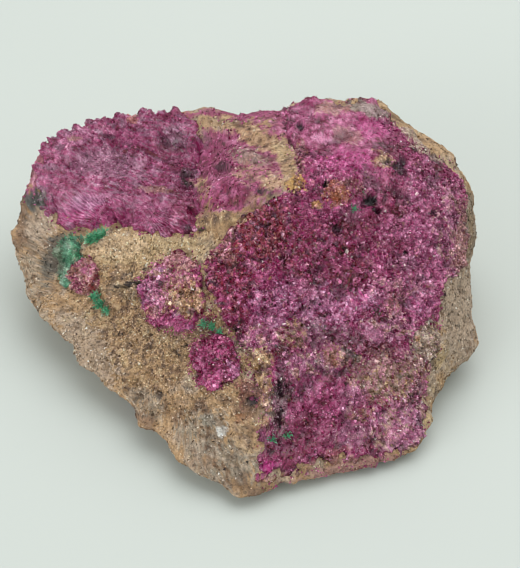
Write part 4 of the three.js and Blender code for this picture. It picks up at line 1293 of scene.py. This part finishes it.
def druse_crystals(name, kind, count, sizes, relief, stains, seed, odd):
    """Crystals spread evenly over a crust; their sizes lean towards the smaller."""
    chance = np.random.default_rng(seed)
    skin, shares = crust_roots(name, count, CROWD_REACH, chance)
    widths = mixed(*sizes, chance.uniform(0, 1, count) ** 2)
    lift = crust_lift(name, skin, shares, relief(skin)) + CROWD_LIFT
    spot = SheetSpot(skin.places, skin.facing)
    for _, middle, reach, turn in SMOOTH_AREAS:
        widths = widths * (1 - SMOOTHING * fade(spot.inside(middle, reach, turn), *OVAL_EDGE))
    colours = varied(stains(skin, lift), chance, odd * ODDNESS[kind])
    return crystals(kind, skin.lifted(lift), skin.out, widths, CROWD_LEAN, colours, seed + 1)


BED_SHADE = mixed(DEEP_SHADE, TIP_SHADE, 0.45)  # painted shade between the crystals, as brightness


def add_druse(node, cells, crowd, relief, stains, seed, odd=1.0):
    """The sheet of a crust and the crystals on it, a piece for each kind."""
    places, parts, skin, lift = crust_sheet(node, cells, relief)
    # the bed gets painted shade, as it lies between the crystals
    colours = with_underside(stains(skin, lift) * BED_SHADE, places, "maroon")
    make_piece(node + "_bed", places, parts, colours, PINK_DOLOMITE, node)
    for kind, count, sizes in crowd:
        seed += 10
        places, faces, tints = druse_crystals(node, kind, count, sizes, relief, stains, seed, odd)
        make_piece(f"{node}_{kind}", places, [faces], tints, PINK_DOLOMITE, node)


add_druse("front_druse", FRONT_CELLS, FRONT_CROWD, front_relief, front_stains, 701)

# %% [markdown]
# ## The hollow
# The hollow at the left is lined by a smoother crust: low shelves that run across it,
# round nodules along its back rim, and swollen fans of fibres at its front. The fibres
# are shallow grooves that spread from the fan's root.

# %% The hollow's crust
HOLLOW_CELLS = 240
HOLLOW_CROWD = [("points", 9000, (0.14, 0.42)), ("rhombs", 500, (0.15, 0.35))]

# round nodules: a place on the crust, and the nodule's radius
NODULES = [
    # along the back rim
    ([-28.4, 28.6, 18.8], 0.9), ([-26.3, 29.0, 19.5], 0.7), ([-24.4, 29.4, 20.0], 0.9),
    ([-22.9, 29.3, 20.2], 0.6), ([-21.4, 29.6, 20.4], 0.8), ([-19.4, 29.6, 20.6], 1.0),
    ([-18.0, 29.2, 20.9], 0.6), ([-15.2, 29.6, 21.2], 1.1), ([-12.6, 29.2, 21.4], 0.7),
    ([-10.3, 29.0, 21.6], 0.8), ([-7.6, 28.8, 21.8], 0.7), ([-30.2, 26.4, 17.6], 0.9),
    ([-32.0, 23.8, 16.4], 0.8),
    # on the ridge wall
    ([-7.4, 25.4, 20.6], 1.6), ([-4.6, 19.8, 19.9], 1.5), ([-6.0, 9.6, 22.6], 1.5),
    # swollen fans at the front of the hollow
    ([-11.1, 13.6, 17.1], 2.4), ([-14.9, 13.0, 16.1], 2.0), ([-20.4, 14.6, 15.0], 2.0),
    ([-26.2, 17.3, 14.7], 2.0), ([-8.6, 6.6, 21.0], 2.0),
    # on the floor
    ([-16.4, 24.1, 16.4], 1.5), ([-21.1, 25.3, 16.4], 1.4), ([-25.7, 24.0, 16.5], 1.5),
]

# fans of fibres: the root on the map sheet, the oval they fill, and its turn
FANS = [((140, 206), (158, 219), (30, 16), 20), ((112, 226), (92, 208), (26, 16), -10)]
FAN_FIBRES = 70  # fibres in a full turn round the root
SHELF_SIZE = np.array([3.2, 0.8, 0.8])  # mm, shelves are long across the hollow
SHELF_TURN = math.radians(25)  # the way they run, clockwise from X
SHELVES = [(SHELF_SIZE, 0.45, 81), (SHELF_SIZE * 0.4, 0.18, 82)]  # size, height, seed
LEVEL_RIM, RIM_SHELVES = (0.8, 1.0), 0.4  # shares near the rim, and the shelves' height there
FIBRE_HEIGHT, FIBRE_TONE = 0.05, 0.1  # mm, and step of tone
HOLLOW_WARP, HOLLOW_STAIN_WARP = 1.2, 1.6  # squares of the sheet; its edges are clean
HOLLOW_STAINS = ["deep raspberry", "raspberry", "raspberry", "mauve grey", "mauve grey"]

# pits of the hollow: sunk, with painted shade inside
HOLLOW_PITS = [
    ("crevice by the ridge", (187, 177), (8, 5), 30, 0.9, 0.6),
    ("crevice behind it", (166, 141), (9, 5), 60, 0.7, 0.5),
    ("shadow beside the fan", (188, 231), (5, 7), 20, 0.9, 0.7),
    ("back crevice", (108, 137), (9, 3), 0, 0.5, 0.6),
]

HOLLOW_PATCHES = [
    ("dark square at the left", "dark grey", (37, 199), (10, 11), 0, 1.0),
    ("lavender middle", "mauve grey", (106, 163), (38, 15), 0, 0.7),
    ("deep left", "deep raspberry", (66, 188), (24, 9), -8, 0.3),
    ("magenta under it", "bright magenta", (95, 216), (40, 12), 5, 0.3),
    ("bright fan", "raspberry", (148, 216), (36, 16), 15, 0.3),
    # a thin pale streak along the fan's edge: a painted highlight
    ("painted highlight on the fan's edge", "pale pink", (166, 207), (15, 3), 22, 0.6),
    ("lilac swelling", "lilac", (87, 202), (19, 8), -8, 0.6),
    ("pale stripe", "pale pink", (104, 196), (30, 2.5), 4, 0.4),
    ("tan lens", "pink tan", (156, 190), (18, 3.5), 4, 0.8),
    # painted shade on the hollow's right part, beside the ridge wall
    ("painted shade behind", "plum", (172, 139), (17, 13), 0, 0.75),
    ("pale back left", "pale pink", (77, 138), (18, 9), -15, 0.5),
    # the next four: painted shade on the hollow's right part, beside the ridge wall
    ("painted shade between", "deep raspberry", (176, 160), (26, 10), 50, 0.45),
    ("painted shade by the ridge", "plum", (190, 178), (11, 10), 20, 0.8),
    ("painted shade at the right", "deep raspberry", (184, 208), (14, 20), 0, 0.8),
    ("painted shade at the fan's foot", "deep raspberry", (182, 234), (20, 6), 5, 0.7),
    ("pink at the back", "rose", (122, 137), (14, 9), 0, 0.6),
    ("orange bit at the back", "pink tan", (74, 139), (8, 3), 0, 0.8),
    ("brown orange nodule", "rust", (133, 117), (6, 8), 0, 0.5),
]


def fan_grooves(spot):
    """Fibres: the sine of the turn round the fan's root, times the number of fibres,
    inside the fan's oval."""
    groove = np.zeros(len(spot.across))
    for root, middle, reach, turn in FANS:
        turns = np.arctan2(spot.down - root[1], spot.across - root[0])
        groove += np.sin(FAN_FIBRES * turns) * fade(spot.inside(middle, reach, turn), *OVAL_EDGE)
    return groove * spot.seen


def along_shelves(places):
    """The places turned so that their first number is counted along the shelves."""
    cosine, sine = math.cos(SHELF_TURN), math.sin(SHELF_TURN)
    return places @ np.array([[cosine, sine, 0], [-sine, cosine, 0], [0, 0, 1]])


def hollow_relief(skin):
    """Height of the hollow's crust in mm: shelves, small waves, nodules and fibres."""
    spot = SheetSpot(skin.places, skin.facing, warp=HOLLOW_WARP)
    depth, _ = pitted(spot, HOLLOW_PITS)
    places = along_shelves(skin.places)
    shelves = layered_noise(places, SHELVES)
    inside = 1 - fade(OUTLINES["hollow_crust"].shares(skin.ways), *LEVEL_RIM)
    shelves = shelves * mixed(RIM_SHELVES, 1, inside) + 0.1 * soft_noise(places, 0.6, 83)
    return 0.25 + shelves + FIBRE_HEIGHT * fan_grooves(spot) + domes(skin, NODULES) - depth


def hollow_stains(skin, lift):
    """Raspberry to mauve, in streaks that run along the shelves."""
    places = skin.lifted(lift)
    spot = SheetSpot(places, skin.facing, warp=HOLLOW_STAIN_WARP)
    turned = along_shelves(places)
    colours = marbled(turned, HOLLOW_STAINS, SHELF_SIZE * 0.7, 84)
    colours = stained(spot, colours, HOLLOW_PATCHES)
    # painted sheen: pale lilac streaks along the shelves where a soft noise is high
    gleam = fade(soft_noise(turned, SHELF_SIZE * 0.3, 86), 0.3, 0.6)
    colours = mixed(colours, PALETTE["lilac"], 0.55 * gleam[:, None])
    colours = toned(uneven(colours, places, 87), FIBRE_TONE * fan_grooves(spot))
    # painted shade inside the pits, in dark plum
    return spot.grained(shaded(spot, colours, HOLLOW_PITS, PALETTE["plum"] * 0.6))


add_druse("hollow_crust", HOLLOW_CELLS, HOLLOW_CROWD, hollow_relief, hollow_stains, 801, odd=0.5)

# %% [markdown]
# ## Crystals on bare rock
# The crusts don't end in a line. Pink crystals are scattered over the ridge between the
# hollow and the front, along the back rim, and a little way out of every crust. They are
# drawn at random over the whole lump, and kept where an oval of the map sheet asks for
# them or where a crust's edge is near.

# %% Scattered crystals
SCATTER_DRAWN = 60000
SCATTER_SIZES = (0.2, 0.55)
SCATTER_NEAR = {"front_druse": 0.06, "hollow_crust": 0.12, "shoulder_druse": 0.2,
                "foot_druse": 0.2, "left_druse": 0.15}  # share past a crust's edge
SCATTER_DENSITY = 0.6  # next to a crust's edge
SCATTER_LEAN = 0.5
BURIED = 0.1  # mm; rock sunk deeper lies under a crust

SCATTERED = [
    # where, middle, reach, turn, stain, density
    ("cave of the ridge", (222, 155), (20, 24), 10, "raspberry", 1.0),
    ("ridge below the cave", (228, 192), (34, 16), 0, "rose", 0.9),
    ("ridge by the front", (262, 178), (22, 18), 0, "raspberry", 0.5),
    ("skyline of the ridge", (245, 114), (60, 8), 0, "rose", 0.9),
    ("knobs by the arc", (252, 168), (20, 14), 0, "rose", 0.4),
    ("left of the ridge", (190, 150), (14, 40), 0, "raspberry", 0.9),
    ("back rim", (110, 122), (60, 8), -10, "raspberry", 0.8),
    ("left rim", (42, 165), (10, 34), 30, "rose", 0.7),
    ("top edge", (325, 103), (40, 6), -5, "rose", 0.9),
    ("lower rim", (352, 466), (56, 6), -10, "rose", 0.7),
    ("edge of the arc", (294, 140), (8, 26), -10, "rose", 0.7),
    ("beside the hollow", (199, 203), (8, 12), 0, "rose", 0.8),
    ("between shoulder and front", (204, 316), (10, 16), -20, "crimson", 0.8),
]

chance = np.random.default_rng(401)
skin = pulled(unit(chance.normal(size=(SCATTER_DRAWN, 3))))
lift = rock_lift(skin)
spot = SheetSpot(skin.lifted(lift), skin.facing)
wanted = np.zeros(SCATTER_DRAWN)
colours = marbled(skin.places, ["deep raspberry", "raspberry", "rose"], 2.5, 402)
for _, middle, reach, turn, stain, density in SCATTERED:
    share = spot.share(middle, reach, turn)
    wanted = np.maximum(wanted, density * share)
    colours = mixed(colours, PALETTE[stain], 0.5 * share[:, None])
for name, near in SCATTER_NEAR.items():
    past = OUTLINES[name].shares(skin.ways) - 1
    wanted = np.maximum(wanted, SCATTER_DENSITY * (1 - fade(past, 0, near)) * (past > 0))
kept = (chance.uniform(0, 1, SCATTER_DRAWN) < wanted) & (under_crusts(skin) < BURIED)
colours = varied(uneven(colours[kept], skin.places[kept], 403), chance)
# painted shade of the rock's pits on the crystals there
colours = shaded(SheetSpot(skin.places[kept], skin.facing[kept]), colours, ROCK_PITS)
widths = mixed(*SCATTER_SIZES, chance.uniform(0, 1, kept.sum()) ** 2)
places, faces, tints = crystals("points", skin.lifted(lift)[kept], skin.out[kept], widths,
                                SCATTER_LEAN, colours, 404)
make_piece("scattered_crystals", places, [faces], tints, PINK_DOLOMITE, "matrix")

# %% [markdown]
# ## The small druses
# Three more patches of pink crystals sit on the rock beside the front: on the shoulder
# of the ledge, at its foot, and a small oval at the left. They are made in the same way,
# each with its own stains.

# %% The small druses
SMALL_DRUSES = {
    # node: cells, points, rhombs, marbling, patches, seed
    "shoulder_druse": (90, 3600, 500, ["deep raspberry", "raspberry", "rose", "lilac"], [
        ("brown middle", "brown sugar", (178, 288), (26, 24), 20, 0.85),
        ("tan middle", "tan sugar", (188, 300), (20, 18), 0, 0.85),
        ("pale left edge", "pink grey sugar", (152, 283), (12, 28), -15, 0.85),
        ("brown lower left", "brown sugar", (153, 312), (11, 10), 0, 0.7),
        ("pink lower edge", "raspberry", (168, 323), (24, 8), 0, 0.8),
        ("pale upper edge", "pink tan", (179, 261), (20, 8), 10, 0.7)], 901),
    "foot_druse": (70, 2600, 300, ["maroon", "deep raspberry", "raspberry", "rose"], [
        ("deep middle", "deep sugar", (214, 353), (13, 12), 0, 0.9),
        ("lilac right", "lilac sugar", (234, 368), (11, 12), 0, 0.8),
        ("rosy left", "rosy sugar", (203, 358), (9, 16), 0, 0.7)], 911),
    "left_druse": (50, 1000, 120, ["red brown", "pink tan", "raspberry", "pink tan"], [
        ("pinkish brown edge", "brown sugar", (72, 285), (8, 10), 0, 0.7)], 921),
}

for node, (cells, points, whole, names, patches, seed) in SMALL_DRUSES.items():
    def small_relief(skin, seed=seed):
        """Low knobs of 1.8 and 0.8 mm."""
        knobs = 0.3 * np.abs(soft_noise(skin.places, 1.8, seed))
        return 0.3 + knobs + 0.15 * soft_noise(skin.places, 0.8, seed + 1)

    def small_stains(skin, lift, names=names, patches=patches, seed=seed):
        """Marbled stains, then the patches."""
        places = skin.lifted(lift)
        spot = SheetSpot(places, skin.facing)
        colours = stained(spot, marbled(places, names, 2.0, seed + 2), patches)
        return spot.grained(uneven(colours, places, seed))

    crowd = [("points", points, (0.2, 0.55)), ("rhombs", whole, (0.2, 0.4))]
    add_druse(node, cells, crowd, small_relief, small_stains, seed + 3)

# %% [markdown]
# ## Malachite
# Malachite grows here as tufts of fine green blades. A blade is a slender spindle with
# four sides. The band at the left is a crust of short blades, and each spray is a small
# cluster of tufts with the blades fanned out from their roots.

# %% Malachite blades
WIDEST = 0.55  # share of a blade's length where it is widest
SPINDLE = np.array([[0, 0, 0], [0.5, 0, WIDEST], [0, 0.5, WIDEST], [-0.5, 0, WIDEST],
                    [0, -0.5, WIDEST], [0, 0, 1.0]])
SPINDLE_FACES = np.array([[0, 2, 1], [0, 3, 2], [0, 4, 3], [0, 1, 4],
                          [5, 1, 2], [5, 2, 3], [5, 3, 4], [5, 4, 1]])
ROOT_SHADE, BLADE_TIP_SHADE = 0.6, 1.25  # painted shade at a blade's root and painted highlight at its tip, as brightness
GREENS = ["dark malachite", "malachite", "malachite", "pale malachite"]


def blades(roots, outward, lengths, widths, lean, stains, seed):
    """Spindles at the roots, leaning at random off their way out."""
    frames = standing(outward, lean, np.random.default_rng(seed))
    scales = np.stack([widths, widths, lengths], axis=1)
    # painted shade at the roots and a painted highlight at the tips
    shades = mixed(ROOT_SHADE, BLADE_TIP_SHADE, SPINDLE[:, 2])
    return copies(SPINDLE, SPINDLE_FACES, roots, frames, scales, stains, shades)


# %% The malachite band
BAND_CELLS, BAND_BLADES = 60, 3600
BLADE_LENGTHS, BLADE_WIDTHS = (0.3, 0.9), (0.07, 0.15)  # mm
BLADE_REACH = 0.97  # share of the band over which blades stand
BLADE_SUNK = 0.05  # mm, how deep a root lies in the bed
BAND_PAINTED_SHADE = 0.7  # painted shade between the blades, as brightness
BAND_LEAN, TUFT_LEAN = 0.9, 1.1  # spread of the lean, 1 is 45 degrees
BAND_GREENS = ["dark grey", "dark malachite", "malachite", "malachite", "pale malachite",
               "beige", "chalk"]
BAND_PATCHES = [
    ("chalky middle", "pale malachite", (68, 262), (9, 20), 0, 0.5),
    ("grey left side", "grey", (58, 258), (6, 24), 0, 0.7),
]


def band_relief(skin):
    """Rounded knobs of about a millimetre."""
    return 0.1 + 0.6 * np.abs(soft_noise(skin.places, 1.2, 95))


def band_stains(skin, lift):
    """Greens, marbled, then the patches, and painted shade where the band lies low."""
    places = skin.lifted(lift)
    spot = SheetSpot(places, skin.facing)
    colours = stained(spot, marbled(places, BAND_GREENS, 0.9, 96), BAND_PATCHES)
    # painted shade: the band's low places are mixed towards dark malachite
    colours = mixed(colours, PALETTE["dark malachite"], 0.6 * fade(lift, 0.25, 0.05)[:, None])
    return spot.grained(colours, contrast=2, middle=0.4)


places, parts, skin, lift = crust_sheet("malachite_band", BAND_CELLS, band_relief)
# the band's bed gets painted shade between the blades
colours = with_underside(band_stains(skin, lift) * BAND_PAINTED_SHADE, places, "dark malachite")
make_piece("malachite_band_bed", places, parts, colours, MALACHITE, "malachite_band")

chance = np.random.default_rng(97)
skin, shares = crust_roots("malachite_band", BAND_BLADES, BLADE_REACH, chance)
lift = crust_lift("malachite_band", skin, shares, band_relief(skin)) - BLADE_SUNK
lengths = chance.uniform(*BLADE_LENGTHS, BAND_BLADES)
widths = chance.uniform(*BLADE_WIDTHS, BAND_BLADES)
places, faces, tints = blades(skin.lifted(lift), skin.out, lengths, widths, BAND_LEAN,
                              band_stains(skin, lift), 98)
make_piece("malachite_band_blades", places, [faces], tints, MALACHITE, "malachite_band")

# %% The malachite sprays
SPRAYS = {
    # node: its tufts (place on the rock, reach of the blades, how many), seed
    "malachite_tuft_rim": ([([-22.4, 9.0, 15.4], 1.3, 180), ([-21.6, 9.4, 15.7], 1.1, 120),
                            ([-23.2, 8.6, 15.0], 1.0, 120)], 21),
    "malachite_tuft_ledge": ([([-22.6, -0.2, 12.0], 1.0, 110), ([-21.7, -1.2, 11.5], 1.1, 130),
                              ([-20.9, -2.2, 11.0], 0.9, 100)], 22),
    "malachite_tuft_middle": ([([-6.0, -8.4, 14.8], 0.8, 90), ([-4.8, -9.2, 14.8], 0.8, 90),
                               ([-3.7, -10.0, 14.6], 0.7, 80)], 23),
    "malachite_sprig_left": ([([4.0, -23.2, 6.8], 0.8, 70)], 24),
    "malachite_sprig_right": ([([6.2, -22.7, 6.8], 0.8, 70)], 25),
    "malachite_sprig_top": ([([15.5, 4.6, 24.6], 0.9, 80), ([16.2, 6.4, 24.9], 0.6, 40)], 26),
}

TUFT_LIFT = 0.1  # mm
TUFT_SPREAD, TUFT_WIDTH = 0.25, 0.14  # of the reach: spread of the roots, and a blade's width
TUFT_LENGTHS = (0.4, 1.0)  # of the reach
TUFT_TONES = (0.7, 1.3)  # brightness of a tuft's darkest and brightest blades

for node, (tufts, seed) in SPRAYS.items():
    chance = np.random.default_rng(seed)
    skins = Skin(bearing([place for place, _, _ in tufts]))
    counts = [count for _, _, count in tufts]
    roots = np.repeat(skins.lifted(TUFT_LIFT), counts, axis=0)
    outward = np.repeat(skins.out, counts, axis=0)
    reach = np.repeat([reach for _, reach, _ in tufts], counts)
    roots = roots + TUFT_SPREAD * reach[:, None] * chance.normal(size=roots.shape)
    lengths = reach * chance.uniform(*TUFT_LENGTHS, len(roots))
    tones = chance.uniform(*TUFT_TONES, (len(roots), 1))
    tints = marbled(roots, GREENS, 0.7, seed) * tones
    places, faces, tints = blades(roots, outward, lengths, TUFT_WIDTH * reach, TUFT_LEAN,
                                  tints, seed + 1)
    make_piece(node + "_blades", places, [faces], tints, MALACHITE, node)

# %% [markdown]
# ## Grains of the rock
# The tan rock is sugary: dolomite grains stand out of it everywhere. They are small
# points too, joined in one piece, and take the rock's stains.

# %% Rock grains
ROCK_GRAINS = 48000
GRAIN_SIZES = (0.16, 0.45)  # mm
GRAIN_LEAN = 0.6
GRAIN_BRIGHTER, GRAIN_SPREAD = 0.01, 0.16  # steps of tone, and how much the grains differ
LOWEST_GRAIN = 0.3  # mm over the flat cut
EDGE_BURIED = 0.2  # mm; the grains reach over a crust's edge

chance = np.random.default_rng(311)
skin = pulled(unit(chance.normal(size=(ROCK_GRAINS, 3))))
skin = Skin(skin.ways[under_crusts(skin) < EDGE_BURIED])
lift = rock_lift(skin)
roots = skin.lifted(lift)
above = roots[:, 2] > LOWEST_GRAIN
widths = chance.uniform(*GRAIN_SIZES, len(roots))
tones = GRAIN_BRIGHTER + GRAIN_SPREAD * chance.normal(size=len(roots))
colours = toned(rock_stains(skin, lift), tones)
places, faces, tints = crystals("points", roots[above], skin.out[above], widths[above],
                                GRAIN_LEAN, colours[above], 312)
make_piece("rock_grains", places, [faces], tints, HOST_ROCK, "matrix")

# %% [markdown]
# ## Floor, light and camera
# A plain pale floor, a large soft lamp above and behind, and a bright even surrounding
# show the stone as on a studio table. The camera looks down at forty five degrees.

# %% The floor
FLOOR_SIZE = 4.0  # metres
FLOOR_GREY = linear(186, 192, 187)
floor_material, add = finish_nodes("pale floor")
shader = add("ShaderNodeBsdfPrincipled", Roughness=0.6)
shader.inputs["Base Color"].default_value = (*FLOOR_GREY, 1)
add("ShaderNodeOutputMaterial", Surface=shader.outputs["BSDF"])
half = FLOOR_SIZE / 2
floor_mesh = bpy.data.meshes.new("floor")
floor_mesh.from_pydata([(-half, -half, 0), (half, -half, 0), (half, half, 0), (-half, half, 0)],
                       [], [(0, 1, 2, 3)])
floor_mesh.materials.append(floor_material)
floor = bpy.data.objects.new("floor", floor_mesh)
bpy.context.scene.collection.objects.link(floor)

# %% The lights
SURROUNDING_WHITE, SURROUNDING_STRENGTH = linear(238, 242, 240), 0.75
scene = bpy.context.scene
scene.view_settings.view_transform = "Standard"
world = bpy.data.worlds.new("soft surrounding")
world.use_nodes = True
background = world.node_tree.nodes["Background"]
background.inputs["Color"].default_value = (*SURROUNDING_WHITE, 1)
background.inputs["Strength"].default_value = SURROUNDING_STRENGTH
scene.world = world

LAMPS = [
    # name, place in metres, size in metres, power in watts
    ("window", (0.14, 0.2, 0.5), 0.75, 3.25),
    ("fill", (-0.4, -0.35, 0.15), 0.4, 1.85),
]
LAMP_AIM = (0, 0, 0.012)  # metres, inside the stone
for name, place, size, power in LAMPS:
    lamp = bpy.data.lights.new(name, "AREA")
    lamp.size = size
    lamp.energy = power
    lamp_object = bpy.data.objects.new(name, lamp)
    lamp_object.location = place
    away = Vector(np.array(place) - LAMP_AIM)
    lamp_object.rotation_mode = "QUATERNION"
    lamp_object.rotation_quaternion = away.to_track_quat("Z", "Y")
    scene.collection.objects.link(lamp_object)

# %% The camera
SENSOR = 36.0  # mm, along the picture's long side
camera = bpy.data.cameras.new("camera")
camera.sensor_width = SENSOR
camera.lens = SENSOR * EYE_DISTANCE / (SQUARE * max(SHEET))
camera.clip_start, camera.clip_end = 0.01, 10.0  # metres
camera_object = bpy.data.objects.new("camera", camera)
camera_object.location = (EYE + TO_ORIGIN) * METRES
camera_object.rotation_euler = (math.pi / 2 - LOOK_DOWN, 0, 0)
scene.collection.objects.link(camera_object)
scene.camera = camera_object
scene.cycles.filter_width = 0.8  # pixels: a crisp picture
print(f"camera: {camera.lens:.1f} mm lens")

# %% [markdown]
# ## The end
# The view layer is brought up to date. The crystals may pass the imported model's box by
# no more than about three hundredths of each side.

# %% The end
bpy.context.view_layer.update()
